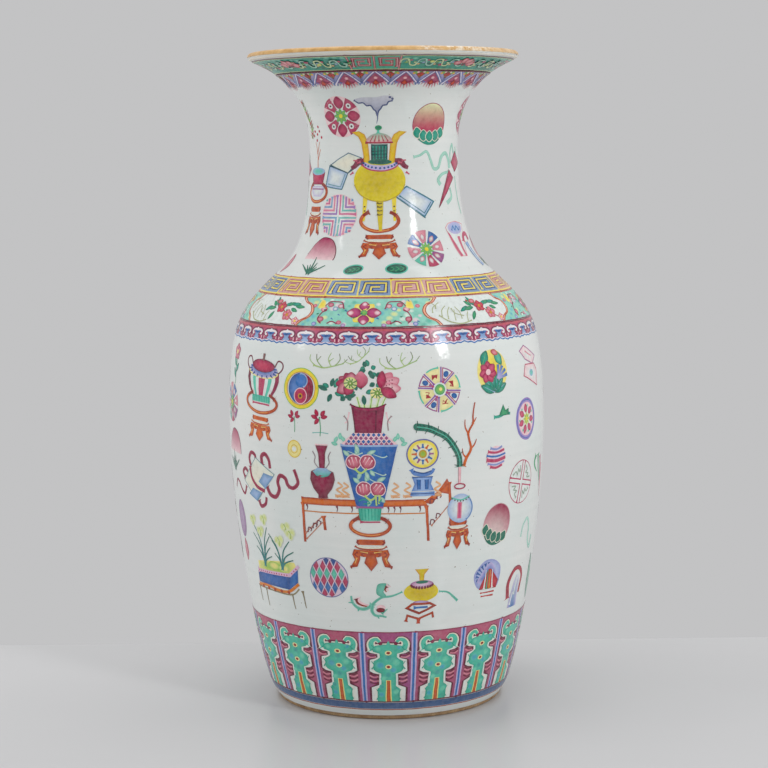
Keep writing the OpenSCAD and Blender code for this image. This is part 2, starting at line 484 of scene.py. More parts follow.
class Sheet:
    """One painted motif, placed by its angle round the vase and its height."""

    def __init__(self, name, angle, height, lean=0.0, size=1.0, layer=0, free=False):
        """Layer is the sheet's lowest. A free sheet keeps its widths true wherever the wall widens."""
        self.name = name
        self.angle = math.radians(angle)
        self.start = wall.distance(height)
        self.radius = wall.radius(self.start)
        self.lean, self.size, self.free, self.layer = lean, size, free, layer
        self.vertices, self.faces, self.paint, self.boxes = [], [], [], []

    def up_to(self, *heights):
        """How far up the sheet heights on the vase lie."""
        return [wall.distance(height) - self.start for height in heights]

    def reach(self, angle):
        """The width on the sheet of an angle round the vase."""
        return math.radians(angle) * self.radius

    def put(self, point, lift):
        x, y = moved([point], turn=self.lean, size=self.size)[0]
        top = wall.along[-1]
        along = min(max(self.start + y, 0.0), top)
        angle = self.angle + x / (wall.radius(along) if self.free else self.radius)
        seed = Vector((math.sin(angle) * self.radius, along, math.cos(angle) * self.radius)) / HAND_SIZE
        stray = noise.noise_vector(seed) * HAND
        angle += stray.x / self.radius
        along = min(max(along + stray.y, 0.0), top)
        r, z = wall.raised(along, lift + wall.ripple(along))
        self.vertices.append(Vector((r * math.sin(angle), -r * math.cos(angle), z)) * MM)

    def grid(self, rows, colours, closed=False):
        """Lays a grid of points: rows of equal length, with a colour for each point."""
        xs = [p[0] for row in rows for p in row]
        ys = [p[1] for row in rows for p in row]
        box = (min(xs), min(ys), max(xs), max(ys))
        under = [b[4] for b in self.boxes
                 if b[0] < box[2] and box[0] < b[2] and b[1] < box[3] and box[1] < b[3]]
        layer = 1 + max(under, default=self.layer - 1)
        self.boxes.append((*box, layer))
        first = len(self.vertices)
        wide = len(rows[0])
        for row, shades in zip(rows, colours):
            for point, shade in zip(row, shades):
                self.put(point, FIRST_LIFT + layer * LAYER_LIFT)
                self.paint.append(shade)
        for i in range(len(rows) - 1):
            for k in range(wide if closed else wide - 1):
                m = (k + 1) % wide
                a, b = first + i * wide, first + (i + 1) * wide
                self.faces.append((a + k, a + m, b + m, b + k))

    def fill(self, outline, middle, edge=None, top=None, line=None, width=0.55, smooth=False, centre=None,
             rise=1.0):
        """Fills an outline that its centre sees all round, shading from middle to edge and to top."""
        points = curve(outline, True) if smooth else dense(outline, True)
        middle, edge, top = (c and linear(c) for c in (middle, edge or middle, top))
        cx, cy = centre or (sum(p[0] for p in points) / len(points), sum(p[1] for p in points) / len(points))
        low, high = min(p[1] for p in points), max(p[1] for p in points)
        farthest = max(math.dist(p, (cx, cy)) for p in points)
        count = max(2, math.ceil(farthest / (GRAIN * 1.15)))
        if area(points) < 0:
            points.reverse()
        rows, colours = [], []
        for i in range(count + 1):
            share = 1 - i / count if i < count else 0.001
            row = [(cx + (x - cx) * share, cy + (y - cy) * share) for x, y in points]
            shade = blend(middle, edge, share ** 2)
            rows.append(row)
            colours.append([blend(shade, top, ((y - low) / (high - low)) ** rise) if top else shade
                            for _, y in row])
        self.grid(rows, colours, closed=True)
        if line:
            self.line(points, width, line, closed=True)

    def ladder(self, left, right, middle, edge=None, end=None):
        """Fills between two lines that run side by side, shading across to edge and along to end."""
        middle, edge, end = (c and linear(c) for c in (middle, edge, end))
        if area(left + right[::-1]) > 0:
            left, right = right, left
        sides = (left, right)
        longest = max(math.dist(a, b) for side in sides for a, b in zip(side, side[1:]))
        count = max(1, math.ceil(longest / GRAIN))
        left, right = ([blend(a, b, i / count) for a, b in zip(side, side[1:]) for i in range(count)]
                       + [side[-1]] for side in sides)
        across = max(2, math.ceil(max(math.dist(a, b) for a, b in zip(left, right)) / GRAIN))
        rows, colours = [], []
        for k, (a, b) in enumerate(zip(left, right)):
            shade = blend(middle, end, k / (len(left) - 1)) if end else middle
            rows.append([blend(b, a, i / across) for i in range(across + 1)])
            colours.append([blend(shade, edge, abs(2 * i / across - 1) ** 2) if edge else shade
                            for i in range(across + 1)])
        self.grid(rows[::-1], colours[::-1])

    def column(self, right, *colours, **more):
        """Fills between a line and its mirror image."""
        self.ladder(mirror(right, -1), right, *colours, **more)

    def line(self, points, width, colour, ends=(1.0, 1.0), end=None, closed=False, smooth=False):
        """A line whose width runs from ends[0] to ends[1] of the width given, and its colour to end."""
        colour, end = (c and linear(c) for c in (colour, end))
        points = curve(points, closed) if smooth else dense(points, closed)
        points = [p for i, p in enumerate(points) if i == 0 or math.dist(p, points[i - 1]) > 1e-6]
        n = len(points)
        if closed:
            points.append(points[0])
        rows, colours = [], []
        for i, p in enumerate(points):
            before = points[i - 1] if i else (points[n - 1] if closed else p)
            after = points[i + 1] if i < len(points) - 1 else (points[1] if closed else p)
            one = Vector((p[0] - before[0], p[1] - before[1]))
            two = Vector((after[0] - p[0], after[1] - p[1]))
            one, two = (one or two).normalized(), (two or one).normalized()
            mean = (one + two).normalized() if (one + two).length > 0.1 else one
            side = Vector((-mean.y, mean.x)) / max(0.5, mean.dot(one))
            share = i / (len(points) - 1)
            half = width / 2 * (ends[0] + (ends[1] - ends[0]) * share)
            rows.append([(p[0] - side.x * half, p[1] - side.y * half),
                         (p[0] + side.x * half, p[1] + side.y * half)])
            shade = blend(colour, end, share) if end else colour
            colours.append([shade, shade])
        self.grid(rows[::-1], colours[::-1])

    def brush(self, points, width, colour, ends=(1.0, 1.0), end=None):
        """A line that curves smoothly through its points."""
        self.line(points, width, colour, ends, end, smooth=True)

    def lines(self, many, *looks, **more):
        for points in many:
            self.line(points, *looks, **more)

    def brushes(self, many, *looks, **more):
        for points in many:
            self.brush(points, *looks, **more)

    def bar(self, half, y, width, colour):
        """A level line, as far to the left as to the right."""
        self.line([(-half, y), (half, y)], width, colour)

    def dots(self, places, radius, colour, edge=None):
        for x, y in places:
            self.fill(oval(x, y, radius, count=8), colour, edge)

    def leaf(self, x, y, turn, length, wide, colour, edge=None, vein=None, out=0.0, **more):
        """A leaf or petal that springs from a place, or from a distance out along its own way."""
        shape = [(px, py + out) for px, py in petal(length, wide)]
        self.fill(moved(shape, x, y, turn), colour, edge or tint(colour, INK, 0.4), smooth=True, **more)
        if vein:
            self.line(moved([(0, 0), (0, length * 0.85)], x, y, turn), 0.4, vein, (1, 0.4))

    def flower(self, x, y, r, colour, edge, heart=YELLOW, petals=5, wide=0.95):
        for a in around(petals):
            self.leaf(x, y, a, r, r * wide, colour, edge)
        self.fill(oval(x, y, r * 0.28), heart)

    def done(self):
        piece = new_piece(self.name, self.vertices, self.faces, enamel, 180)
        paint = piece.data.color_attributes.new("paint", "FLOAT_COLOR", "POINT")
        paint.data.foreach_set("color", [v for c in self.paint for v in (*c, 1.0)])
        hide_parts("enamel_bands")


# --- Borders ----------------------------------------------------------------------------------

LAPPETS = 17
LAPPET_LOW, LAPPET_HIGH = 14.0, 64.6
LAPPET_FIRST = -11.0        # angle of the left edge of the first lappet
LAPPET_LILAC = ("a45a80", "955c88")     # a panel's ground, in the middle and at the sides
LAPPET_ROSE = ("b4677c", "a25c7a")      # the same of the panels to the right of an angle
ROSE_FROM = 10
BEAST_TEAL = [(7.4, 0.3), (7.2, 10.6), (4.8, 12.6), (4.6, 21.8), (8.0, 23.4), (9.4, 25), (9.2, 31),
              (6.6, 32.6), (5.2, 34), (5.4, 36.6), (9.2, 37.9), (9.8, 40.4), (7.8, 42.4), (3.0, 43.2)]
BEAST_WHITE = [(11.0, 0.3), (11.0, 11.2), (6.2, 13.2), (5.8, 21.4), (9.4, 22.2), (11.8, 23.6), (11.4, 32.0),
               (8.0, 33), (6.6, 34), (6.8, 36.3), (10.6, 36.9), (12.6, 38.2), (12.2, 42.6), (3.6, 44.0)]
BEAST_MAROON_UP = (0, 0, 0.9, -0.8, -0.8, 0, 0, 0.9, 0, 0, -0.8, 0, 0.9, 0.9)
BEAST_HORN = [(9.0, 39), (10.4, 43.4), (9.3, 46.3), (6.8, 47.0), (5.2, 45.0)]


def beast(s):
    """The turquoise beast figure of a panel, white round the edge and outlined in maroon."""
    teal, sea, pale_sea, deep_sea = "66bfa8", "5fa5be", "84cfb4", "4f9c98"
    maroon = [(w + 1.4, y + up) for (w, y), up in zip(BEAST_WHITE, BEAST_MAROON_UP)]
    for half, colour, edge, thick in ((maroon, "5f1a34", None, 8.4), (BEAST_WHITE, CREAM, WHITE, 6.4),
                                      (BEAST_TEAL, teal, "4fa892", 3.9)):
        s.column(half, colour, edge)
        for side in MIRRORED:
            s.brush(mirror(BEAST_HORN, side), thick, colour, (1.0, 0.45))
    s.fill([(-1.6, 42.4), (1.6, 42.4), (0, 46.0)], teal)
    s.dots([(-4.6, 43.8), (4.6, 43.8)], 1.2, "7a2c48")
    for x, y, r, colour in ((-5, 28, 3, sea), (4.6, 30, 2.6, pale_sea), (3, 24.6, 2.4, sea),
                            (-3, 18, 2.2, pale_sea), (-4.6, 6, 2.4, sea), (5, 8, 2.4, pale_sea),
                            (6.5, 41, 1.6, sea), (-6, 40, 2, pale_sea), (0, 34, 2.6, deep_sea),
                            (0, 21, 2.4, deep_sea), (-4.4, 12, 1.8, deep_sea)):
        s.dots([(x, y)], r, colour, teal)
    for side in MIRRORED:
        for x, y, high in ((9.2, 28, 6), (9, 41, 4), (6.6, 6, 8)):
            s.line(mirror([(x + 1.2, y - high / 2), (x - 0.6, y), (x + 1.2, y + high / 2)], side), 0.5,
                   DEEP_TURQUOISE)
        for y, colour, x in ((14.8, MAROON, 6.4), (16.4, PINK, 6.4), (18.0, MAROON, 6.4), (19.6, PINK, 6.4),
                             (21.0, MAROON, 6.4), (34.2, PINK, 7.6), (35.6, MAROON, 7.6)):
            s.brush(mirror([(x, y), (x + 3, y - 0.5), (x + 5.6, y + 0.9)], side), 1.0, colour, (0.6, 1.0))
    for y in (26.8, 37.2):
        s.fill(oval(0, y, 2.1, 1.7), CREAM, PALE_YELLOW)
        s.fill(oval(0, y, 1.2, 1.0), RUST, MAROON)
    s.column([(2.1, 0.3), (1.6, 17)], PALE_YELLOW)
    s.column([(1.3, 0.3), (1.0, 16.6)], ORANGE, RUST)


def lappet(name, angle):
    """One panel above the foot, with half a separator at each side."""
    sheet = Sheet(name, angle, LAPPET_LOW)
    high, = sheet.up_to(LAPPET_HIGH)
    half = sheet.reach(180 / LAPPETS)
    ground = LAPPET_ROSE if angle > ROSE_FROM else LAPPET_LILAC
    sheet.column([(half, high * i / 10) for i in range(11)], *ground)
    beast(sheet)
    for width, colour in ((3.4, LILAC), (1.5, BLUE)):
        for side in MIRRORED:
            inner, outer = side * (half - width / 2), side * half
            sheet.ladder([(inner, 0.2), (inner, high)], [(outer, 0.2), (outer, high)], colour)
    sheet.bar(half, high, 0.7, DEEP_ROSE)
    sheet.bar(half, 0.2, 0.9, MAROON)
    sheet.done()


FOOT_LINE_PARTS = 8
FOOT_LINE = ((8.7, 13.4, "566d92", "44597f"), (7.7, 8.4, RUST, None))  # low, high, colour, colour at the top


def foot_line(name, angle):
    """A stretch of the blue band and the rust line right round the foot."""
    sheet = Sheet(name, angle, (FOOT_LINE[0][0] + FOOT_LINE[0][1]) / 2)
    half = sheet.reach(180 / FOOT_LINE_PARTS)
    for low, high, colour, end in FOOT_LINE:
        sheet.column([(half, y) for y in sheet.up_to(low, high)], colour, end=end)
    sheet.done()


FRETS = 24
FRET_LOW, FRET_HIGH = 287.0, 298.7
FRET_FIRST = -27.4          # angle where the first blue pair starts
FRET_YELLOW = "ecdb80"
FRET_BLUE = ("8498b6", "3a4876")    # a blue pair's ground and shadow
FRET_PINK = ("cfa6a0", "a2606a")    # the same of a pink pair


def spiral(sheet, x, y, wide, high, flip, width, colour, shadow):
    """A squared spiral in a cell whose lower left corner is (x, y)."""
    turns = [(0.10, 0.14), (0.17, 0.80), (0.86, 0.80), (0.84, 0.26), (0.36, 0.26), (0.38, 0.56), (0.66, 0.56)]
    points = [((1 - u if flip else u) * wide + x, v * high + y) for u, v in turns]
    sheet.line(points, width + 1.7, shadow)
    sheet.line(points, width, colour)


def fret_pair(name, angle, ground, shadow):
    """Two cells of the fret band."""
    sheet = Sheet(name, angle, (FRET_LOW + FRET_HIGH) / 2)
    half = sheet.reach(360 / FRETS)
    low, high = sheet.up_to(FRET_LOW, FRET_HIGH)
    sheet.column([(half, low), (half, high)], ground)
    for x in (-half, 0):
        spiral(sheet, x + 0.8, low + 1.3, half - 1.2, high - low - 2.6, False, 1.15, FRET_YELLOW, shadow)
    for x in (-half, 0, half):
        sheet.line([(x, low), (x, high)], 1.0, FRET_YELLOW)
    for y, inwards in ((low, 1), (high, -1)):
        sheet.bar(half, y + inwards * 1.1, 1.3, FRET_YELLOW)
        sheet.bar(half, y + inwards * 0.25, 0.7, RUST)
    sheet.done()


SHOULDER_LOW, SHOULDER_HIGH = 268.2, 286.8
GROUND_FIRST = -8.5         # angle of the first turquoise ground; the others follow at right angles
RESERVES = (36.5, 126.5, 216.5, 308.5)  # angles of the white reserves between them
RESERVE_HALF = 21.2         # half the angle that one takes up
SPRINKLED = (0.618034, 0.754878)    # strides that strew spots evenly
FLECKED = (0.41421, 0.56984)        # strides for the flecks among them


def blotches(s, half, low, high, count, ground, colours, size=1.9):
    """Soft spots of other colours strewn over a ground."""
    for k, (x, y) in enumerate(strewn(count, half, low, high, 1.2, SPRINKLED)):
        r = size * (0.6 + 0.5 * ((k * 0.37) % 1))
        s.fill(oval(x, y, r * 1.3, r, count=8), colours[k % len(colours)], ground)


def shoulder_ground(name, angle):
    """Turquoise ground between two reserves, with a four-petalled flower and scattered sprays."""
    sheet = Sheet(name, angle, (SHOULDER_LOW + SHOULDER_HIGH) / 2)
    low, high = sheet.up_to(SHOULDER_LOW, SHOULDER_HIGH)
    half = sheet.reach(45)
    xs = spread(half, 12)
    ground = "97d0c0"
    sheet.ladder([(x, high) for x in xs], [(x, low) for x in xs], ground)
    blotches(sheet, half, low, high, 84, ground,
             ("dfe3a8", "74b8c6", "e4e6e2", "eee6a4", "6bb8a6", "e6d0d6", "dff0e4"), 2.2)
    for turn in around(4, 45):
        sheet.leaf(0, 0, turn, 9.2, 7, PALE_YELLOW, YELLOW)
    for turn, length in ((0, 8.8), (90, 11.6), (180, 8.8), (270, 11.6)):
        sheet.leaf(0, 0, turn, length - 1.4, 7.4, "c0648a", "842450", out=1.4)
        sheet.leaf(0, 0, turn, length * 0.42, 4.0, "f2dce2", ROSE, out=length * 0.55)
    sheet.fill(oval(0, 0, 2.4, 2.0), LEAF, GREEN)
    for side in MIRRORED:
        for x, y, r, colour, edge in ((16.5, 5.2, 2.2, PALE_PINK, DEEP_ROSE), (20, 3, 2.0, WHITE, BLUE),
                                      (24, 6, 2.2, PINK, DEEP_ROSE), (28, 2.5, 2.4, PALE_PINK, ROSE),
                                      (29, -5, 2.4, PINK, DEEP_ROSE), (16, -7, 1.8, PINK, ROSE),
                                      (13, -9, 1.6, LILAC, MAUVE), (33, -8.4, 1.8, LILAC, BLUE),
                                      (36, 5, 1.8, PINK, ROSE)):
            sheet.fill(oval(side * x, y, r, r * 0.85), colour, edge)
        sheet.fill(mirror([(28, 4), (33, 3.4), (32, 9.4), (29, 9)], side), YELLOW, PALE_YELLOW, smooth=True)
        for points in ([(14, 3), (16, 8), (21, 8.6), (25, 8.4), (28, 5)],
                       [(26, 2), (29, 0), (31, -5), (28, -8)], [(17, -8), (21, -6.4), (24, -8)]):
            sheet.brush(mirror(points, side), 0.8, DEEP_ROSE)
    for k, (x, y) in enumerate(strewn(26, half, low, high, 2, FLECKED)):
        sheet.line([(x, y), (x + 1.6, y + 0.9 * (-1) ** k)], 0.6, (DEEP_GREEN, BLUE)[k % 2], (1, 0.4))
    sheet.bar(half, low + 0.4, 0.8, MAROON)
    sheet.bar(half, high - 0.3, 0.6, RUST)
    sheet.done()


def reserve(name, angle):
    """A white lobed panel with a flowering branch, over the meeting of two turquoise grounds."""
    sheet = Sheet(name, angle, (SHOULDER_LOW + SHOULDER_HIGH) / 2, layer=7)
    low, high = sheet.up_to(SHOULDER_LOW, SHOULDER_HIGH)
    low, high = low + 0.9, high - 0.6
    half = sheet.reach(RESERVE_HALF)
    edge = curve([(half - 10, high), (half - 7, high - 3.5), (half - 2.2, high - 6), (half, 0.5),
                  (half - 2.2, low + 6), (half - 7, low + 3.5), (half - 10, low)])
    columns = spread(1, 32)
    sheet.grid([[(-x * k, y) for x, y in edge] for k in columns],
               [[linear(WHITE)] * len(edge)] * len(columns))
    for inset, width, colour in ((0, 1.9, "efb9a0"), (0.9, 0.6, RUST), (-0.9, 0.6, RUST)):
        for side in MIRRORED:
            sheet.line([(side * (x - inset), y) for x, y in edge], width, colour)
    sheet.brush([(-2, 7.6), (5, 5), (10, 1), (17, -4), (24, -8)], 1.2, RUST, (1, 0.5))
    for k, (x, y, turn) in enumerate(((1, 3, 50), (-3, 3, 120), (2, 2, 100), (4, 2, 8), (12, 4, -70),
                                      (16, 5, -85), (17, 2, -110), (9, 2, -50), (20, 4, -95),
                                      (13, 1, -130), (2, -1, 150), (3, 3, 25))):
        sheet.leaf(x, y, turn, 6.4 + k % 3, 2.8, (GREEN, DEEP_TURQUOISE)[k % 2], DEEP_GREEN)
    sheet.flower(7.6, 2.6, 4.6, "cf6a74", "a03c4c", OCHRE)
    sheet.flower(15.5, -3.0, 4.4, PINK, "b8505a", OCHRE)
    sheet.flower(24, -7, 3.0, PALE_PINK, "b8505a", YELLOW)
    sheet.fill(oval(3, 6.8, 2.6, 1.8), PINK, RUST)
    pale = "aab089"
    for x, y, dx, dy in ((-27, 3, 3, 4), (-27, 2, -3, 5), (-24, -4, 4, 8), (-20, -6, 3, 9), (-15, -7, 1, 8),
                         (-10, -6, -3, 9), (-30, -1, 3, 6), (-16, 2, 8, -6), (-6, -8, 2, 7)):
        sheet.brush([(x, y), (x + dx * 0.2, y + dy * 0.6), (x + dx, y + dy)], 0.6, pale)
    sheet.brush([(-26, -3), (-19, -8), (-10, -9.4), (-3, -7.6)], 0.8, pale)
    sheet.done()


RUYI_HEADS = 42
RUYI_GROUPS = 7
RUYI_FIRST = -5.0           # angle of one head
RUYI_LOW, RUYI_HIGH = 257.2, 268.0
RUYI_DARK = "70304a"


def ruyi_group(name, angle):
    """A run of cloud-collar heads hanging under the shoulder band."""
    sheet = Sheet(name, angle, RUYI_HIGH)
    heads = RUYI_HEADS // RUYI_GROUPS
    pitch = sheet.reach(360 / RUYI_HEADS)
    deep = wall.distance(RUYI_HIGH) - wall.distance(RUYI_LOW)
    half = pitch * heads / 2

    def hem(x, extra):
        share = (x / pitch + 0.5) % 1.0
        return -deep * (0.86 + 0.03 * math.cos(2 * math.pi * share)
                        + 0.035 * math.cos(6 * math.pi * share)) - extra

    xs = spread(half, 12 * heads)
    for extra, colour in ((1.7, BLUE), (0.8, "dfdce8"), (0.0, "b25c78")):
        sheet.ladder([(x, 0) for x in xs], [(x, hem(x, extra)) for x in xs], colour)
    sheet.ladder([(-half, -0.1), (half, -0.1)], [(-half, -2.1), (half, -2.1)], "bb6570")
    sheet.bar(half, -0.2, 0.7, MAROON)
    for k in range(heads + 1):
        x = -half + k * pitch
        for side in [s for s in MIRRORED if -half < x + s < half]:
            arch = [(0, -2.6), (4.8, -2.9), (6.9, -5.0), (5.8, -7.6), (3.8, -7.0)]
            fold = [(4.2, -4.6), (1.9, -6.8), (4.4, -deep * 0.84)]
            cap = [(0, -3.7), (3.8, -4.0), (5.6, -5.3), (4.8, -6.8), (3.6, -6.4)]
            curl = [(2.2, -7.2), (3.4, -9.4), (5.2, -deep * 0.84)]
            sheet.brush(moved(mirror(arch, side), x), 1.1, RUYI_DARK, (1, 0.6))
            sheet.ladder(moved([(0, -3.4), (0, -6.4), (0, -deep * 0.84)], x), moved(mirror(fold, side), x),
                         BLUE, end=PALE_BLUE)
            sheet.brush(moved(mirror(cap, side), x), 1.6, "e6e2e4", (1, 0.7))
            sheet.line(moved([(0, -5.6), (side * 2.9, -5.8)], x), 1.0, DEEP_BLUE, (1, 0.6))
            sheet.brush(moved(mirror(curl, side), x), 0.7, RUYI_DARK)
    for k in range(heads):
        x = -half + (k + 0.5) * pitch
        sheet.line([(x, -6.4), (x, -deep * 0.86)], 0.8, RUYI_DARK, (0.5, 1))
        for side in MIRRORED:
            sheet.line([(x + side * 1.5, -7.6), (x + side * 1.3, -deep * 0.82)], 0.7, PALE_PINK, (0.5, 1))
    sheet.done()


LIP_LOW, LIP_HIGH = 435.0, 444.3
LIP_FRET_AT = -4.0          # angle of the first key-fret panel under the lip
LIP_FRET_HALF = 12.4        # half the angle that it takes up
LIP_FRET_GROUND, LIP_FLOWER_GROUND = "56a892", "3f9480"
LIP_FRET_DARK, LIP_FRET_PALE = "8c2438", "d9a3a8"


def lip_fret(sheet, half, low, high):
    """A pair of squared spirals that face each other."""
    for x, flip in ((-half, False), (0.3, True)):
        spiral(sheet, x + 1.4, low + 1.4, half - 2.2, high - low - 2.8, flip, 0.7, LIP_FRET_PALE,
               LIP_FRET_DARK)
    for x in (-half + 0.8, 0, half - 0.8):
        for width, colour in ((1.5, LIP_FRET_DARK), (0.6, LIP_FRET_PALE)):
            sheet.line([(x, low), (x, high)], width, colour)


def lip_flowers(sheet, half, low, high):
    """A flower among scrolling leaves."""
    middle = (low + high) / 2
    blotches(sheet, half, low, high, 46, LIP_FLOWER_GROUND, ("2f6f5e", "8ccab4", "5b7f96", "2a6353"))
    for k in range(16):
        x, flip = half * (2 * (k + 0.5) / 16 - 1), -1 if k % 2 else 1
        y = middle + flip * 1.9
        tendril = [(x - 3.4, y - 3 * flip), (x - 2.4, y + 1.4 * flip), (x + 1.0, y + 2.0 * flip),
                   (x + 2.0, y - flip), (x, y - 1.4 * flip)]
        sheet.brush(tendril, 2.4, "164f42", (0.5, 1))
        sheet.brush(tendril, 1.6, ("ccdcae", "a9d6c2")[k // 2 % 2], (0.5, 1))
        sheet.dots([(x + 3.4, middle + 2.6 * flip)], 1.1, ("d98f96", "e3d9a0")[k % 2], DEEP_ROSE)
        sheet.leaf(x + 2.6, y - 1.4 * flip, 90 * flip + 30, 4.2, 2.2, (LEAF, "8fd0c0", PALE_BLUE)[k % 3],
                   DEEP_GREEN)
    for x, y, turn in ((-4, 0.4, 70), (4, -0.4, -70), (-0.6, 1.4, 20), (0.6, 1, -30)):
        sheet.leaf(x * 0.6, middle + y - 1.6, turn, 7.0, 5.4, "e6a8ac", "b04450")
    sheet.fill(oval(0, middle - 1.6, 2.0, 1.4), MAROON, INK)
    sheet.dots([(-half * 0.55, middle + 1), (half * 0.55, middle - 1)], 1.7, PALE_YELLOW, LEAF)
    sheet.dots([(-half * 0.4, middle - 3), (half * 0.36, middle + 2.4)], 1.4, ROSE, DEEP_ROSE)


def lip_panel(name, angle, half_angle, ground, drawing):
    """A stretch of the band below the lip, with a drawing on it and rules along its edges."""
    sheet = Sheet(name, angle, (LIP_LOW + LIP_HIGH) / 2)
    low, high = sheet.up_to(LIP_LOW, LIP_HIGH)
    half = sheet.reach(half_angle)
    xs = spread(half, 12)
    sheet.ladder([(x, high) for x in xs], [(x, low) for x in xs], ground)
    drawing(sheet, half, low, high)
    for inset, width, colour in ((0.4, 1.0, MAROON), (1.4, 0.6, "c9d6a8")):
        for y in (low + inset, high - inset):
            sheet.bar(half, y, width, colour)
    sheet.done()


FRINGE_PANELS = 22
FRINGE_GROUPS = 11
FRINGE_FIRST = 4.0          # angle between two of its panels
FRINGE_LOW, FRINGE_HIGH = 426.4, 434.9


def fringe_group(name, angle):
    """Hanging triangles under the lip band, rose ones pointing up and blue ones pointing down."""
    sheet = Sheet(name, angle, FRINGE_LOW)
    high, = sheet.up_to(FRINGE_HIGH)
    pitch = sheet.reach(360 / FRINGE_PANELS)
    count = FRINGE_PANELS // FRINGE_GROUPS
    for k in range(count):
        left = (k - count / 2) * pitch
        mid, right = left + pitch / 2, left + pitch
        sheet.fill([(left, 1.4), (mid, high * 0.9), (right, 1.4)], "b0607a", "8a4660",
                   centre=(mid, high * 0.35))
        for x, inwards in ((left, 1), (right, -1)):
            sheet.fill([(x, high), (mid, high), (x, 0.8)], "a9a2c6", "66759f",
                       centre=(x * 0.64 + mid * 0.36, high * 0.72))
            sheet.fill([(x, high - 0.4), (x + inwards * pitch * 0.3, high - 0.4), (x, high * 0.42)], LEAF,
                       GREEN)
            sheet.fill([(x, high - 0.8), (x + inwards * pitch * 0.16, high * 0.74), (x, high * 0.4)],
                       "c9574c", MAROON)
            sheet.dots([(x + inwards * pitch * 0.24, high * 0.8)], 1.0, YELLOW, ORANGE)
            sheet.dots([(x + inwards * pitch * 0.1, high * 0.9)], 0.8, PALE_PINK)
            for width, colour in ((1.9, "6a78a8"), (0.8, "e6dce8")):
                sheet.line([(x, 0.4), (mid, high - 0.4)], width, colour)
        for dx, low, colour in ((-6, -0.6, BLUE), (-4, -2.2, MAUVE), (-2, -2.8, ROSE), (0, -3.4, RUST),
                                (2, -2.8, ROSE), (4, -2.2, DEEP_ROSE), (6, -0.6, PINK)):
            sheet.line([(mid + dx * 0.8, 2.2), (mid + dx * 1.1, low)], 1.4, colour, (1, 0.25), PINK)
        sheet.fill([(mid - 2.4, 1.2), (mid, 4.6), (mid + 2.4, 1.2), (mid, -1)], "cf5c4c", MAROON)
        sheet.dots([(mid, high * 0.46)], 1.3, PALE_PINK, PINK)
    sheet.bar(count * pitch / 2, high, 0.9, MAROON)
    sheet.done()


def paint_borders():
    """All the borders, from the foot up to the shoulder and then the lip."""
    for i in range(LAPPETS):
        lappet(f"lappet_{i + 1}", LAPPET_FIRST + 360 / LAPPETS * (i + 0.5))
    for i in range(FOOT_LINE_PARTS):
        foot_line(f"foot_line_{i + 1}", (i + 0.5) * 360 / FOOT_LINE_PARTS)
    cell = 360 / FRETS
    for i in range(FRETS // 2):
        fret_pair(f"fret_{i + 1}", FRET_FIRST + cell + 2 * cell * i, *(FRET_PINK if i % 2 else FRET_BLUE))
    for i in range(4):
        shoulder_ground(f"shoulder_ground_{i + 1}", GROUND_FIRST + 90 * i)
    for i, angle in enumerate(RESERVES):
        reserve(f"shoulder_reserve_{i + 1}", angle)
    for i in range(RUYI_GROUPS):
        ruyi_group(f"ruyi_{i + 1}", RUYI_FIRST + (i + 0.5) * 360 / RUYI_GROUPS)
    for i in range(4):
        middle = LIP_FRET_AT + 90 * i
        lip_panel(f"lip_flowers_{i + 1}", middle + 45, 45 - LIP_FRET_HALF, LIP_FLOWER_GROUND, lip_flowers)
        lip_panel(f"lip_fret_{i + 1}", middle, LIP_FRET_HALF, LIP_FRET_GROUND, lip_fret)
    for i in range(FRINGE_GROUPS):
        fringe_group(f"fringe_{i + 1}", FRINGE_FIRST + i * 360 / FRINGE_GROUPS)


# --- Motifs: roundels and fruit -----------------------------------------------------------------
# Each is painted round its own middle on the sheet it is given.


def slices(s, r, inner, half, colours, first=0.0):
    """Slices of a ring, one for each colour."""
    for a, colour in zip(around(len(colours), first), colours):
        outer = oval(0, 0, r, start=a - half, end=a + half, count=5)
        s.fill(outer + oval(0, 0, inner, start=a + half, end=a - half, count=3), colour,
               tint(colour, INK, 0.25))


def petal_roundel(s):
    s.fill(oval(0, 0, 14.3), WHITE, PALE_PINK)
    slices(s, 14.3, 5, 19, [ROSE] * 4, 45)
    for a in around(4):
        s.leaf(0, 0, a, 9.2, 7.4, ROSE, DEEP_ROSE, out=5)
        eye = moved([(10, 0)], turn=a + 45)
        s.dots(eye, 1.9, WHITE)
        s.dots(eye, 0.8, INK)
    s.flower(0, 0, 5.4, LEAF, GREEN, petals=8, wide=0.5)


def lattice_roundel(s):
    s.fill(oval(0, 0, 14.6), WHITE, PALE_PINK)
    colours = ("cf7f9c", "7fb9b4", "a184b8", "d993a8", "86aac8")
    for quarter, a in enumerate(around(4)):
        for k in range(5):
            near = 1.3 + 2.3 * k
            reach = math.sqrt(14.6 ** 2 - near ** 2) - 0.4
            s.line(moved([(reach, near), (near, near), (near, reach)], turn=a), 1.25,
                   colours[(k + 2 * quarter) % 5])


def window_roundel(s):
    s.fill(oval(0, 0, 14.8), WHITE, line=ROSE, width=0.6)
    for a in around(4):
        s.line(moved([(1.5, 14.6), (1.5, 1.7), (14.6, 1.7)], turn=a), 0.9, ROSE)
        s.brush(moved([(3.4, 11.5), (6, 9), (4.4, 6.6), (8, 6.4), (6.4, 3.8), (11, 4.4)], turn=a), 1.0,
                "9aa89a")


def rosette(s):
    s.fill(oval(0, 0, 13.8), WHITE)
    slices(s, 13.6, 4.6, 18, [PINK, BLUE, PINK, BLUE, PINK, TURQUOISE, ROSE, MAUVE], 10)
    for a in around(8, 10):
        s.leaf(0, 0, a - 90, 5.4, 3.4, WHITE, ROSE, out=6)
    s.flower(0, 0, 5.6, LEAF, GREEN, petals=10, wide=0.35)


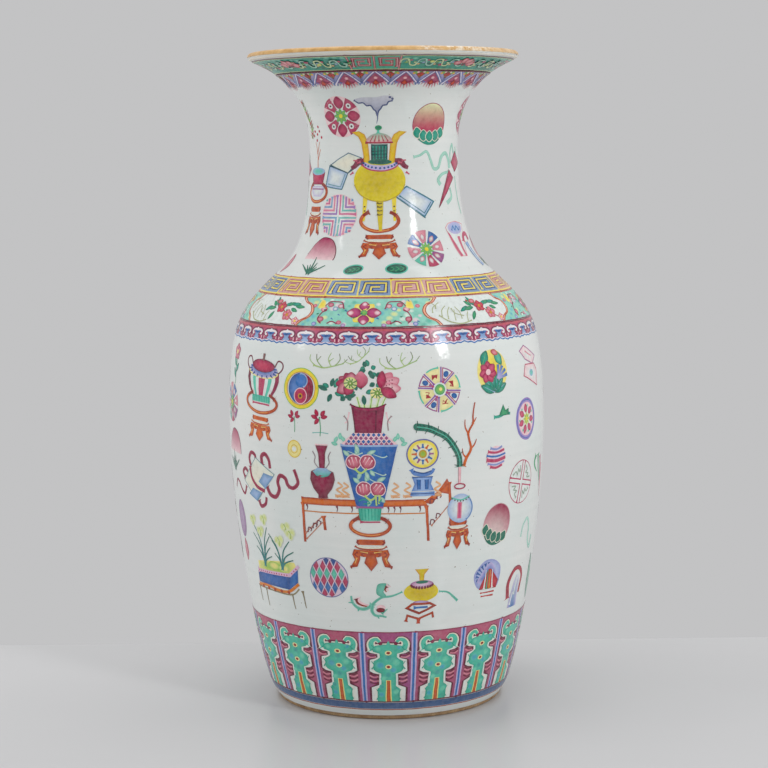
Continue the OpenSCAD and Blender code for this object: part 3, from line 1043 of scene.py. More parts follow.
def wheel_roundel(s):
    s.fill(oval(0, 0, 14.6), WHITE)
    slices(s, 14.4, 4.6, 22, ["f6efb8"] * 4, 20)
    for a in around(4, 20):
        s.line(moved([(8.4, -1.4), (9.4, 0.4), (8.6, 1.8), (10.6, 1.2)], turn=a), 1.5, "a8303c")
        s.line(moved(oval(0, 0, 14.2, start=-18, end=18), turn=a), 1.0, TURQUOISE)
        s.line(moved(oval(0, 0, 14.2, start=-16, end=16), turn=a + 45), 0.8, MAUVE)
        for side in MIRRORED:
            spoke = [(4.6, side * 1.2), (9, side * 3.0), (14, side * 5.0)]
            s.line(moved(spoke, turn=a + 45), 0.9, "8a5aa0")
            s.line(moved([(x, y - side * 1.3) for x, y in spoke], turn=a + 45), 0.6, ROSE)
        s.fill(moved(oval(11, 0, 2.1, 1.8), turn=a + 45), BLUE, DEEP_BLUE)
        s.fill(moved(oval(7.0, 0, 1.2, 0.9), turn=a + 45), MAUVE)
    s.fill(oval(0, 0, 3.6), LEAF, GREEN)
    s.dots([(0.4, 0.2)], 1.2, PALE_YELLOW)


def harlequin(s):
    r = 13.7
    s.fill(oval(0, 0, r), "d9c8d6", line="6a6f9c", width=0.6)
    for i, colour in enumerate((DEEP_BLUE, ROSE, TURQUOISE, ROSE, BLUE, ROSE)):
        y = 12.6 - 4.9 * i
        for k in range(-3, 4):
            x = (k + 0.5 * (i % 2)) * 5.2 - 1.0
            if math.hypot(x, y) < r:
                corners = [(x - 2.1, y), (x, y - 4.3), (x + 2.1, y), (x, y + 4.3)]
                inwards = [min(1, r / math.hypot(u, v)) for u, v in corners]
                inside = [(u * f, v * f) for (u, v), f in zip(corners, inwards)]
                s.fill(inside, colour, tint(colour, INK, 0.35))


def taiji(s):
    s.line(oval(0, 0, 12.2), 2.8, YELLOW, closed=True)
    s.line(oval(0, 0, 13.4), 0.5, LEAF, closed=True)
    s.line(oval(0, 0, 10.9), 0.5, OCHRE, closed=True)
    s.fill(oval(0, 0, 9.7, 10.4), "b03a52", "8a2444")
    for k in range(4):
        s.brush([(3.4 + 1.7 * k, -7.4 + 1.1 * k), (4.6 + 1.6 * k, -1 + 0.6 * k), (3.4 + 1.5 * k, 6.4 - k)],
                0.5, MAROON)
    half = oval(0, 0, 9.7, 10.4, start=88, end=272)
    s.fill(half, "6f8fc6", DEEP_BLUE, centre=(-4.6, 0))
    s.fill(oval(0.0, 5.0, 4.3, 4.6), "5f86c4", BLUE)
    s.line(oval(0.4, 5.2, 4.4, 4.6, start=-70, end=110), 0.7, PALE_BLUE)
    s.fill(oval(-0.2, -4.9, 4.9, 5.1), "b23a5a", ROSE, line=PALE_PINK, width=0.6)
    s.dots([(-0.2, -4.9)], 1.9, OCHRE)
    s.dots([(-0.2, -4.9)], 1.0, INK)


def flower_oval(s):
    s.fill(oval(0, 0, 13.4, 14.4), YELLOW, PALE_YELLOW)
    for a in (-66, -42, -14, 14, 42, 66):
        s.leaf(0.5, -14, a, 12.5, 5.6, DEEP_TURQUOISE, DEEP_GREEN, PALE_BLUE)
    s.leaf(-9, 4, -26, 11, 6.6, DEEP_TURQUOISE, DEEP_GREEN, LEAF)
    s.leaf(3.0, 13, -150, 11, 6.4, TURQUOISE, DEEP_GREEN, LEAF)
    s.leaf(-0.5, 13.4, -110, 7, 4, PINK, RUST)
    s.flower(-4.4, -0.4, 7.6, "cf6f86", DEEP_ROSE, PALE_PINK, petals=7, wide=0.8)
    for a in (-76, -52, -28, -4):
        s.line(moved([(0, 0), (0, 9.5)], 4.2, -5.4, a), 2.3, LILAC, end=BLUE, ends=(0.6, 1))


def lilac_roundel(s):
    s.fill(oval(0, 0, 13.6, 14.4), "cdb9dc", "8f79b8")
    s.line(oval(0, 0, 12.2, 13), 0.6, BLUE, closed=True)
    s.fill(oval(0, 0, 10.6, 11.4), WHITE, PALE_PINK)
    for a in around(7, 8):
        s.leaf(0, 0, a, 6.4, 4.4, "cf7186", "a0385c", out=4)
        s.dots(moved([(2.6, 8.6)], turn=a), 0.9, TURQUOISE)
    s.flower(0, 0, 4.6, LEAF, PALE_YELLOW, petals=8, wide=0.5)


def ball(s):
    s.fill(oval(0, 0, 8.9, 7.8), "d8d3e2", PALE_PINK)
    for y, width, colour in ((6.2, 1.4, "8f9cc8"), (4.0, 1.6, ROSE), (1.4, 1.3, BLUE), (-1.4, 2.2, ROSE),
                             (-4.0, 1.2, "8f9cc8"), (-6.2, 1.7, ROSE)):
        w = 8.9 * math.sqrt(1 - (y / 7.9) ** 2)
        s.brush([(-w, y + 0.5), (0, y - 0.7), (w, y + 0.9)], width, colour)


def coin(s):
    s.fill(oval(0, 0, 5.5, 6), "efe6b0", "e8d98a")
    for r in (5.2, 2.6):
        s.line(oval(0, 0, r, r * 1.08), 0.45, "d8b860", closed=True)
    s.fill(oval(0, 0, 1.7), WHITE)


def blades(s, x, y, reach, fan, count):
    """A tuft of grass fanning out from (x, y)."""
    for k in range(count):
        a = fan * (1 - 2 * k / (count - 1))
        s.line(moved([(0, 0), (0, reach * (0.75 + 0.25 * math.cos(2.0 * k)))], x, y, a), 2.1, DEEP_GREEN,
               ends=(1, 0.3))


def fruit(s, rx, ry, low, edge, top, leaves, rise=1.0):
    """A peach, shading upwards from low to top, in its cup of leaves."""
    s.fill(oval(0, 0, rx, ry), low, edge, top=top, line=tint(edge, INK, 0.3), width=0.5, rise=rise)
    s.fill(oval(0, 0, rx * 0.95, ry * 1.04, start=208, end=332), leaves, tint(leaves, DEEP_GREEN, 0.5))
    for x, y, turn in ((-0.66, -0.72, 12), (0.66, -0.72, -12), (-0.34, -0.86, 4), (0.34, -0.86, -4),
                       (0, -0.9, 0)):
        tip = moved(petal(ry * 0.56, rx * 0.46), x * rx, y * ry, turn)
        s.fill(tip, leaves, tint(leaves, DEEP_GREEN, 0.6), smooth=True, line=CREAM, width=0.45)


def peach(s):
    fruit(s, 13.4, 14, "b23a60", "b04668", "e6ecc0", DEEP_TURQUOISE, 2.6)


def red_peach(s):
    fruit(s, 12.6, 14.2, "efe4df", "e3bcc0", "8e1e44", DEEP_GREEN, 1.15)


def dome(s):
    arch = [(-14.5, -7.5), (-13, -4), (-8, 3.5), (-2, 8), (3, 8.4), (8, 6.4), (12, 1), (13.4, -5), (13, -8)]
    s.fill(curve(arch), "eccad0", "efd6d8", top="a02a56", centre=(0, -1), rise=0.85)
    s.brush(arch[1:], 0.8, MAROON, (0.4, 1))
    blades(s, -2.0, -19.8, 14, 56, 7)


def pebble(s):
    s.fill(oval(0, 0, 6.6, 3.8), DEEP_GREEN, "143f38", line=TURQUOISE, width=0.9)
    for x in (-3, 0, 3):
        s.brush([(x - 1, -1.6), (x + 1.4, 0), (x - 0.4, 1.6)], 0.5, GREEN)


def cloud(s):
    shape = [(-13.6, 2.4), (-10.6, 0.2), (-7.4, 0.4), (-5, -1.8), (-2.2, -1.6), (-0.4, -4.4), (1.0, -5.6),
             (1.8, -8.9), (2.8, -5.6), (4.4, -3.8), (5.8, -1.6), (8.4, -1.2), (9.6, 0.8), (12.6, 1.6),
             (12.9, 4.6), (8, 5.6), (2, 4.4), (-4, 4.4), (-9, 4.2)]
    s.fill(shape, "8187a6", "5d6688", top="cdced6", centre=(2, 1.2), smooth=True, rise=0.8)
    s.brush(shape[:14], 0.9, "47527a")
    s.dots([(10.8, 4.2), (12.4, 3.0)], 0.9, "47527a")
    s.brush([(1.8, -7), (1.9, -10.5), (1.2, -14)], 1.1, "5a6488", (1, 0.2))


def hill(s):
    s.brush([(-8.5, -2.4), (-3.4, -2.2), (1.6, -1), (7.6, -1.2)], 2.4, DEEP_TURQUOISE, (0.8, 0.8))
    s.fill([(-4, -2), (0.4, 5.6), (3, 1.4), (6, 2.6), (6.4, -2)], GREEN, DEEP_GREEN, centre=(1, -0.6))


# --- Motifs: plants -----------------------------------------------------------------------------


def twig(s):
    pale_to_green, green_to_brown = ("b3c78e", "9dba80"), ("9dba80", "5d5f4c")
    for points, width, (start, end) in (
            ([(-11, -2), (-4, -3.4), (2, -2.6), (10, -0.6)], 1.1, pale_to_green),
            ([(-4, -3.4), (-8, 1), (-8.6, 5.4)], 0.8, green_to_brown),
            ([(2, -2.6), (0, 2), (1.8, 6.4)], 0.7, pale_to_green),
            ([(5, -1.8), (8, 2), (7.4, 6)], 0.7, green_to_brown),
            ([(-10, -2), (-13.4, 1.6), (-13, 5)], 0.7, pale_to_green),
            ([(-8, 1), (-5.4, 4)], 0.6, green_to_brown),
            ([(0.6, 1), (3.6, 3)], 0.6, pale_to_green),
            ([(10, -0.6), (13, 2.4)], 0.6, green_to_brown)):
        s.brush(points, width, start, (1, 0.6), end=end)


def orchid(s):
    s.brush([(0, 0), (0.6, -5), (0.4, -10.5)], 0.5, GREEN)
    for x, y, a in ((-2.4, -1.6, 70), (-2.2, 0.4, 20), (1.4, 1, -40), (1.6, -0.6, -80), (-0.6, -1.8, 140)):
        s.leaf(x * 0.5, y * 0.5, a, 4.2, 2.4, "b8485a", DEEP_ROSE)


def feather(s):
    spine = [(0, 0), (-0.4, 6.6), (-3.8, 13.4), (-9, 19.8), (-15.6, 24), (-23, 27), (-29.6, 28)]
    dark = "12483d"
    s.brush(spine, 4.6, "24705e", (0.85, 1))
    s.fill(oval(-29.6, 28, 2.3), "24705e")
    way = curve(spine)
    for k, ((x, y), (u, v)) in enumerate(zip(way[1::2], way[2::2])):
        across = Vector((v - y, x - u)).normalized() * (1.9 if k % 3 else 3.9)
        for side in MIRRORED:
            s.line([(x, y), (x + side * across.x + (u - x), y + side * across.y + (v - y))], 0.8, dark,
                   ends=(1, 0.4))
    s.brush(spine, 0.8, "5fae98")


def coral(s):
    for points, width in (
            ([(3, 0), (5, 5.5), (8.5, 11.5), (6.6, 21.5), (10, 28), (10.4, 34), (12, 42)], 2.3),
            ([(6.6, 21.5), (4.2, 26), (4.2, 31)], 1.4), ([(10, 28), (13, 32)], 1.3),
            ([(8.5, 11.5), (11.4, 14), (13, 17.5)], 1.3), ([(5, 5.5), (2.6, 8.4), (2, 12)], 1.2)):
        s.brush(points, width, ORANGE, (1, 0.35), end=RUST)


def peonies(s):
    """Two peonies among dark leaves, above a pot whose mouth is at the middle of the sheet."""
    rose, deep, pale = "c25a74", "862342", "e3a3ae"
    for x, y, dx, dy in ((-5, 0, -2, 7), (-2, 0, -1, 8), (2, 0, 1, 8), (6, 0, 2, 7), (9, 0, 3, 7)):
        s.brush([(x, y), (x + dx * 0.4, y + dy * 0.6), (x + dx, y + dy)], 2.0, "dfe6c8")
        s.line([(x, y), (x + dx, y + dy)], 0.6, LEAF)
    for x, y, wide, high, first in ((-24, 11, 7, 6, 40), (-4.7, 9.6, 9, 5, 75), (0.4, 25.4, 5, 3.6, 80),
                                    (5.4, 18, 3, 5.6, 10), (-14, 8, 4, 3, 100)):
        for k in range(6):
            a = first + 137.5 * k
            x0, y0 = x - 0.4 * wide * math.sin(math.radians(a)), y + 0.4 * high * math.cos(math.radians(a))
            s.leaf(x0, y0, a + 25 * (-1) ** k, 0.55 * (wide + high) * (0.7 + 0.12 * (k % 4)), 3.2,
                 (DEEP_TURQUOISE, "1a6156")[k % 2], DEEP_GREEN)
    for a, high, wide, colour in ((62, 9.6, 6, pale), (88, 10.5, 7, rose), (118, 11, 8, pale),
                                  (30, 8.4, 7, rose), (0, 8, 8, pale), (150, 8, 7, rose)):
        s.leaf(-10.6, 15.2, a, high, wide, colour, deep)
    s.leaf(-4, 12.6, 2, 11, 9, "b84a66", deep, top="dd93a2")
    s.fill(oval(-11.2, 15.9, 4.5, 4.0), "eceabf", "cfd98c")
    s.fill(oval(6.5, 9.6, 4.6, 3.6), "eceabf", PALE_YELLOW)
    for x, y in ((-11.2, 15.9), (6.5, 9.6)):
        for k, a in enumerate(around(9, 12)):
            s.line(moved([(0.4, 0.6), (0, 3.2 + 0.6 * (k % 4))], x, y, a), 0.7, "7fa04e", end=DEEP_GREEN)
    for a, high, wide, colour in ((-34, 12.5, 9, pale), (-62, 13.5, 9, "e9bcc4"), (-90, 13, 8, PALE_PINK),
                                  (-4, 11.5, 6, rose), (-118, 11.5, 7, rose)):
        s.leaf(8.8, 12.4, a, high, wide, colour, deep if colour == rose else "cf7f90")
    s.dots([(12.4 + 1.9 * (k % 3), 12 + 2.4 * (k // 3) + 0.6 * (k % 3)) for k in range(9)], 0.45, deep)


def narcissus(s):
    """Two clumps of leaves with pale flowers, growing from green moss."""
    s.fill([(-33.5, 0), (0, -1.5), (8, 5), (6, 9.5), (-10, 8.6), (-33.5, 5.4)], LEAF, PALE_YELLOW)
    s.fill(oval(-14, 4.6, 6, 3), PALE_YELLOW, LEAF)
    s.fill(oval(-4, 4, 5, 2.4), PALE_YELLOW, "b7cf86")
    for x, y, fans in ((-24, 3, ((-12, 30), (-12, 22), (6, 28), (8, 22), (-9, 13), (8, 14), (9, 8))),
                       (-5.5, 3, ((-8, 20), (9, 21), (-6, 11), (12, 14), (11, 8), (-11, 24)))):
        for dx, dy in fans:
            s.brush([(x, y), (x + dx * 0.28, y + dy * 0.6), (x + dx, y + dy)], 1.5, "3f7f86", (1, 0.4),
                    end=DEEP_GREEN)
    for x, y in ((-35, 34), (-21, 36), (-26, 27), (1, 33), (5, 29), (-6, 23)):
        for dx, dy, r in ((-2, 0.6, 2.6), (1.8, 1.4, 2.8), (0.4, -1.6, 2.4)):
            s.fill(oval(x + dx, y + dy, r, r * 1.1), "d3dc96", "dde3c9")
        s.brush([(x - 1, y + 2.6), (x + 0.6, y), (x, y - 3)], 0.6, "98b466")


# --- Motifs: vessels and stands -----------------------------------------------------------------


def rope_ring(s, y, rx, ry):
    """The open ring that a vessel's foot stands in."""
    s.line(oval(0, y, rx, ry, start=122, end=418), 2.2, ORANGE, end=RUST)
    s.line(oval(0, y, rx + 1, ry + 1, start=126, end=414), 0.5, RUST)
    s.line(oval(0, y, rx, ry, start=205, end=300), 0.6, "e0a070")
    for start, end in ((122, 150), (390, 418)):
        s.line(oval(0, y, rx, ry, start=start, end=end), 2.3, "8c3024", ends=(1, 0.6))


def carved_stand(s, y, wide, high, colour=ORANGE, dark=RUST):
    """A cushion on a waisted stand with three carved feet; y is the top of the cushion."""
    w = wide / 2
    shade = tint(dark, MAROON, 0.45)

    def part(points, middle, edge, line=None):
        s.fill([(u * w, y - v * high) for u, v in points], middle, edge, line=line, width=0.5)

    def strokes(many, width, paint):
        for points in many:
            for side in MIRRORED:
                s.brush([(side * u * w, y - v * high) for u, v in points], width, paint)

    part([(-0.66, 0), (0.66, 0), (0.74, 0.1), (0.62, 0.18), (-0.62, 0.18), (-0.74, 0.1)], dark, colour)
    strokes([[(0.66, 0.02), (0.72, 0.1), (0.6, 0.17)]], 1.2, shade)
    strokes([[(0.74, 0.24), (0.4, 0.27), (0, 0.27)]], 1.3, CREAM)
    strokes([[(0.84, 0.22), (0.6, 0.3), (0, 0.33)]], 0.9, dark)
    for side in MIRRORED:
        part(mirror([(0.6, 0.36), (0.88, 0.34), (0.98, 0.5), (0.84, 0.68), (1.1, 0.94), (0.74, 0.9),
                     (0.6, 0.66)], side), colour, dark, dark)
    part([(-0.82, 0.34), (0, 0.36), (0.82, 0.34), (0.9, 0.5), (0.4, 0.58), (-0.4, 0.58), (-0.9, 0.5)],
         dark, colour)
    part([(-0.2, 0.5), (0.2, 0.5), (0.34, 0.78), (0, 1.04), (-0.34, 0.78)], colour, dark, dark)
    strokes([[(0.3, 0.42), (0.5, 0.5), (0.36, 0.56)], [(0.7, 0.42), (0.86, 0.5), (0.7, 0.58)],
             [(0.92, 0.88), (1.1, 0.9), (1.04, 0.98)]], 0.8, shade)
    strokes([[(0.16, 0.44), (0.56, 0.4)], [(0.76, 0.62), (0.86, 0.8)]], 0.6,
            tint(colour, PALE_YELLOW, 0.6))


def censer(s):
    for x, lean in ((-9.6, -1.6), (9.6, 0.8)):
        s.line([(x, -9), (x + lean * 0.3, -18), (x + lean, -27)], 3.4, YELLOW, ends=(1, 0.5))
        s.dots([(x + lean * 0.3, y) for y in (-17, -20, -23)], 0.6, INK)
    rope_ring(s, -26.8, 12.8, 7.0)
    s.line([(0, -10), (0.3, -20), (0.6, -33.5)], 5.4, "d4c040", ends=(1, 0.4))
    s.lines([[(-1.8, y), (0, y - 0.5), (1.8, y)] for y in (-14.6, -17, -19.6, -22.4)], 0.7, "6a5c2a")
    carved_stand(s, -36.2, 25, 17)
    for side in MIRRORED:
        s.brush(mirror([(10.6, 12.6), (14.2, 13), (17, 10), (19.6, 8.8)], side), 4.8, "7a2240", (1, 0.5))
        s.lines([mirror(points, side) for points in ([(15, 13.6), (18, 13.8)], [(18, 6), (20.4, 4.4)],
                                                     [(12.6, 12.8), (15.4, 12)])], 0.9, "c0687a")
    outer = [(-10.3, 11), (-11, 19), (-12.2, 25.5), (-14.2, 29.6), (-18.8, 32.6)]
    inner = [(-6.4, 11), (-6.9, 20.5), (-7.8, 27), (-9.8, 31.2), (-13.6, 33.4)]
    for side in reversed(MIRRORED):
        s.ladder(mirror(outer, side), mirror(inner, side), "e0c03c", OCHRE)
    s.ladder([(-5.4, 24.6), (-5.6, 12.4)], [(5.7, 24.6), (5.6, 12.4)], "1f5f58", "123f42")
    for k in range(5):
        s.line([(-4 + 2.1 * k, 23.4), (-4 + 2.1 * k, 14)], 0.5, "3f9c88")
    for k in range(4):
        s.line([(-5 + 0.1 * k, 15.4 + 2.2 * k), (5, 15.8 + 2.2 * k)], 0.45, "123f42")
    s.fill(oval(0, 0.2, 17.6, 14), "cfb932", "e0cf46")
    s.line(oval(0, 0.2, 17.4, 13.8, start=190, end=350), 0.7, "bfa637")
    s.fill(oval(0.4, 12.8, 8, 1.9), "17504a", DEEP_GREEN)
    angles = [200 + 14 * k for k in range(11)]
    s.ladder([rim(a, 0.5, 13.6, 10.4, 3.2) for a in angles],
             [rim(a, 0.5, 13.6, 12.8, 6.6) for a in angles], LILAC)
    s.line([rim(a, 0.5, 13.4, 13, 6.8) for a in angles], 0.9, ROSE)
    s.dots([rim(a, 0.5, 13.6, 11.7, 5) for a in angles], 0.75, DEEP_BLUE)
    s.fill(oval(0, 26, 8.8, 6.0, start=0, end=180), "d3c9bb", PINK, top="8fae9c")
    s.lines([[(x, 26.4), (x * 0.6, 30.4)] for x in (-6, -3, 0, 3, 6)], 0.6, "a85a66")
    s.line([(-9.4, 25.6), (9.4, 25.6)], 1.0, "9c3a48")
    s.line([(-0.4, 31.4), (-0.4, 34)], 1.6, TURQUOISE)
    s.fill(oval(-0.3, 35.6, 2.4, 1.7), DEEP_GREEN, GREEN)


def lacquer_box(s):
    s.fill([(-11.5, 7.5), (3, 2), (13, 12), (3.5, 15.5)], CREAM, "d8ddd2", line="4b6c80", width=0.6)
    s.fill([(-16, -7), (-1.5, -9), (3, 2), (-12.5, 7)], WHITE, PALE_BLUE, line="3f6f7c", width=0.7)
    s.line([(-13.6, -5.4), (-2.6, -7.2), (1, 1.6)], 0.6, "6f9aa6")
    s.line([(-12, 7.2), (3, 2.0), (14, 9)], 1.1, "31505a", ends=(1, 0.5))


def plank(s):
    corners = [(-14, 3.5), (6.5, -10.5), (14.5, -0.5), (-5.5, 10)]
    s.fill(corners, WHITE, PALE_BLUE, line="3f7684", width=0.9)
    s.line([(-11, 3.8), (6.4, -8.2), (12.4, -0.6)], 0.6, "3f7684")
    s.line([(-16, 5), (7, -11.4)], 1.0, "3f6f7c")


def castanets(s):
    pale, edge = "a9d3c4", "83bfac"
    for points, width in (
            ([(-34, 9.4), (-29, 10.4), (-24, 13), (-20.4, 7), (-18, 1.4), (-13.6, 2.4), (-10.4, 9.2),
              (-5.6, 11.6), (-2, 7), (-1, 1.6)], 2.4),
            ([(-3, -1), (-10, -2.4), (-14.4, -6), (-12.6, -9.6)], 2.4),
            ([(1, 6), (0.4, 12), (3.6, 17.6), (6, 12)], 1.6), ([(-2, -12), (-1, -18), (-7.5, -22)], 2.4),
            ([(10, 16), (11, 10)], 1.8), ([(7, -4), (8, -13), (9.5, -21), (13, -30)], 1.4)):
        s.brush(points, width + 0.5, edge, (0.5, 1))
        s.brush(points, width, pale, (0.4, 1))
    s.fill([(8.5, 13), (1.5, 5.5), (7, -1), (18, 5)], "c2657a", "a8485e", line=MAROON, width=0.5)
    s.fill([(-2, 0.5), (3.5, -5), (-16.5, -25)], "c2657a", "a8485e", line=MAROON, width=0.5)
    s.lines([[(7, 10), (13, 4)], [(-3, -4), (-13, -21)]], 0.6, "7a2240")


def cups(s):
    s.fill([(-10, 9.5), (-4.6, -11.5), (3.8, -11.5), (11, 7), (12, 11.5), (2.5, 13.6), (-6.5, 12.5)],
           WHITE, line=PINK)
    s.ladder([(-10, 8), (-7, -2), (-4.6, -11.5)], [(-7, 5), (-3.4, -3), (-1, -11)], ROSE, PINK)
    s.ladder([(0.5, 3), (1, -4), (1.6, -11.5)], [(4.4, 3), (3.6, -4), (4.2, -11.5)], ROSE, PINK)
    s.fill(oval(1, 9, 9, 4.2), PALE_BLUE, LILAC)
    s.brushes([[(-4, 7.4), (-2, 10.4), (0, 7.6), (2, 10.4), (5, 7.4), (7, 10)]], 0.9, BLUE)
    s.brush([(8, -1), (10, 3.6), (15, 4.4), (18, 0)], 3.2, ROSE)
    s.ladder([(9, -2), (14, -12), (19, -21)], [(14, -1), (19, -10), (24, -20)], PALE_BLUE, BLUE)
    s.line([(13, -5), (20, -18)], 1.0, WHITE)


def coral_vase(s):
    """A small vase of berried coral in its ring, on a carved stand."""
    s.brushes([[(0, 6), (-0.5, 16), (-3, 24)], [(-0.5, 16), (2.4, 24)], [(0, 12), (3.4, 19)]], 1.0,
              "c9806c", (1, 0.5))
    s.dots([(-5, 28), (-3, 31), (0, 29), (3, 31), (5, 27), (-1, 25), (2, 34)], 1.0, "b8505a")
    stem = [(-9, 26), (-8, 34), (-12, 42), (-14, 52)]
    s.brush(stem, 0.8, "9aa870")
    for k, (x, y) in enumerate(curve(stem)[1::2]):
        for side in MIRRORED:
            s.line([(x, y), (x + 3.6 * side, y + 2.8)], 1.1, ("8a7a50", "b8605a", LEAF)[k % 3], ends=(1, 0.3))
    s.fill([(-9.5, 3.5), (-7, -5), (7, -5), (9, 3.5)], "bf4a66", DEEP_ROSE)
    s.fill(oval(-0.2, 4, 9, 2.6), TURQUOISE, PALE_BLUE)
    s.fill(both([(5, -13), (8, -10), (8.4, -6)]), WHITE, LILAC)
    s.line([(-8, -8), (8, -8)], 0.8, MAUVE)
    rope_ring(s, -10, 11.5, 6.6)
    carved_stand(s, -20, 17, 20, colour="d2846a")


def jar(s):
    """A covered jar with ring handles, striped like a melon, in its ring and on its stand."""
    for side in MIRRORED:
        s.brush(mirror([(12, 11), (15.6, 17.6), (20, 16.6), (20.4, 12.4), (16, 8)], side), 1.1, MAROON)
    stripes = (MAROON, WHITE, TURQUOISE, WHITE, ROSE, ROSE, WHITE, TURQUOISE, WHITE, DEEP_ROSE)
    for k, colour in enumerate(stripes):
        s.ladder(*([((i / 5 - 1) * w, y) for w, y in ((17.6, 9), (18.4, 3), (16, -3), (11.4, -9))]
                   for i in (k, k + 1)), colour)
    s.column([(10.6, -8.6), (10.4, -13.4)], TURQUOISE)
    s.lines([[(x, -8.8), (x, -13.2)] for x in (-9, -7, -5, -3, -1, 1, 3, 5, 7, 9)], 0.5, DEEP_TURQUOISE)
    s.line([(-10, -14.6), (10, -14.6)], 1.2, ROSE)
    rope_ring(s, -13.6, 17.6, 7.4)
    s.fill(oval(0, 8.4, 17, 4.6), CREAM, PALE_YELLOW)
    s.fill(oval(0, 10, 16, 5.4), BLUE, LILAC)
    for a in around(16):
        s.line([rim(a, 0, 10, 13, 4), rim(a, 0, 9.4, 16.6, 5.6)], 0.9, DEEP_BLUE)
    s.fill(oval(0, 12.8, 12.6, 4.4), "c45a70", DEEP_ROSE, line=MAROON, width=0.5)
    s.line([(0, 16.6), (0, 21.6)], 2.0, "7d5a58", ends=(0.8, 1.2))
    carved_stand(s, -24, 25, 17, colour="dd7c48", dark="c25a34")


def beaker(s):
    """A crimson vase of peonies; the middle of the sheet is the middle of its mouth."""
    for side in MIRRORED:
        s.brush(mirror([(12, -3), (13.6, -9), (15, -10)], side), 0.8, PALE_PINK)
        s.brush(mirror([(15.6, -5.4), (13.2, -9), (13.4, -15)], side), 0.8, "9d8a8c")
    s.fill(both([(11.2, 2.6), (10, -1.4)]), "dfe6c8", WHITE)
    peonies(s)
    mouth = [(-11.6, 2.4), (-6, 0.2), (0.4, -0.4), (6.6, 0.2), (12.2, 2.4)]
    s.ladder([(x * 0.92, y - 1.4) for x, y in mouth], [(x * 0.72, -17.2) for x, _ in mouth], "8d2149",
             "7a1c40")
    s.ladder(mouth, [(x * 0.92, y - 1.6) for x, y in mouth], "a03058")
    s.brush(mouth, 0.8, MAROON)
    s.lines([[(5.6, -2), (5, -16.6)], [(-9.6, 0.4), (-8.2, -16.8)]], 0.6, "5a1832")


def square_vase(s):
    """A blue tapering vase painted with peaches, with a lozenge shoulder, in its ring and on its stand."""
    for side in MIRRORED:
        for x, y, a in ((16, 24.5, -30), (21, 22.4, -70), (23, 24, 30), (19, 26, 0)):
            s.leaf(side * x, y - 1.5, side * a, 4.4, 2.4, "9fd0bd", TURQUOISE)
    s.column([(10, 29), (19, 21)], PALE_PINK)
    for row, y in enumerate((27.8, 25.6, 23.4, 21.6)):
        half = 10 + (29 - y) * 1.05
        for k in range(-6, 7):
            x = (k + 0.5 * (row % 2)) * 3.3
            if abs(x) < half:
                s.fill([(x - 1.3, y), (x, y - 1.3), (x + 1.3, y), (x, y + 1.3)], (BLUE, ROSE)[row % 2],
                       DEEP_BLUE)
    s.line([(-19, 20.6), (19, 20.6)], 1.2, PALE_BLUE)
    s.column([(18.5, 20), (8.6, -20)], "5079b4", "3f62a0")
    pale, green = "c3dccb", "7fb3a4"
    s.brushes([[(-14, 17), (-8, 15), (-4, 16)], [(3, 15), (9, 13), (12, 14)],
               [(-2.6, 4), (0, -1), (6, -4)], [(2, 4), (9, 1), (11, 2)]], 0.8, pale, (0.4, 1))
    for x, y, lean, size in ((-5.5, 9.5, 0, 1.0), (0.8, -8.4, -10, 0.98)):
        for dx, dy, a, high in ((-7, 4, 50, 6), (-3, 5, -10, 6), (4, 5.4, -66, 6.6), (0, -6, 160, 6),
                                (6, -5, -140, 5), (-1, 6, 20, 7)):
            s.leaf(x + dx, y + dy, a, high * size, 2.8, pale, green)
        for dx, turn in ((-4.4, 24), (4.4, -24)):
            heart = moved([(0, 5.4), (-4.4, 3), (-4.8, -1.4), (0, -4.6), (4.8, -1.4), (4.4, 3)], x + dx, y,
                          turn + lean, size)
            s.fill(heart, "d88a98", "8a2448", smooth=True, line="efd3d6", width=0.6)
            strokes = ([(0, 4), (-0.8, -2)], [(-2.4, 3), (-2.6, -1)], [(2.4, 3), (2, -1)])
            s.lines([moved(points, x + dx, y, turn + lean, size) for points in strokes], 0.6, PALE_PINK,
                    ends=(1, 0.3))
        s.brush([(x - 4, y - 4), (x, y - 7), (x + 4, y - 4)], 1.3, "b7cf86")
    s.lines([[(4, -12), (4.4, -19)], [(6.6, -12), (6, -18)]], 1.1, "b7cf86")
    s.brushes([[(-7, -16), (-3, -15), (0, -17.6), (-4, -18)], [(6, -17), (8, -15)]], 0.7, DEEP_TURQUOISE)
    s.line([(-8.8, -20.4), (8.8, -20.4)], 1.2, MAUVE)
    s.column([(7.6, -21.2), (6.8, -29.4)], TURQUOISE, DEEP_TURQUOISE)
    s.lines([[(x, -21.4), (x * 0.92, -29)] for x in (-5.4, -3.2, -1, 1.2, 3.4, 5.6)], 0.5, DEEP_TURQUOISE)
    s.line([(-6.6, -30.4), (6.6, -30.4)], 0.9, ROSE)
    rope_ring(s, -33, 13, 6.4)
    carved_stand(s, -42.4, 25, 20.6)


def bottle(s):
    """A maroon bottle with a turquoise collar and thin handles; the middle is the widest part."""
    for side in MIRRORED:
        s.brush(mirror([(2.6, 9), (5.6, 13), (5, 17), (7, 21)], side), 0.6, "8a7a80")
    s.column([(4.6, 25), (2.6, 19), (2, 9)], DEEP_ROSE, MAROON)
    s.line([(-4.8, 25.6), (4.8, 25.6)], 0.7, PALE_PINK)
    s.fill(both([(3.6, -12.4), (3.4, -10), (7, -5.6), (9.6, 1), (8.6, 6.4), (3, 9)]), "8f2d4c", MAROON)
    s.fill(both([(0.5, 2.6), (4.6, 3.6), (7.2, 6.4), (3.4, 9.2)]), TURQUOISE, DEEP_TURQUOISE, top=PALE_BLUE)


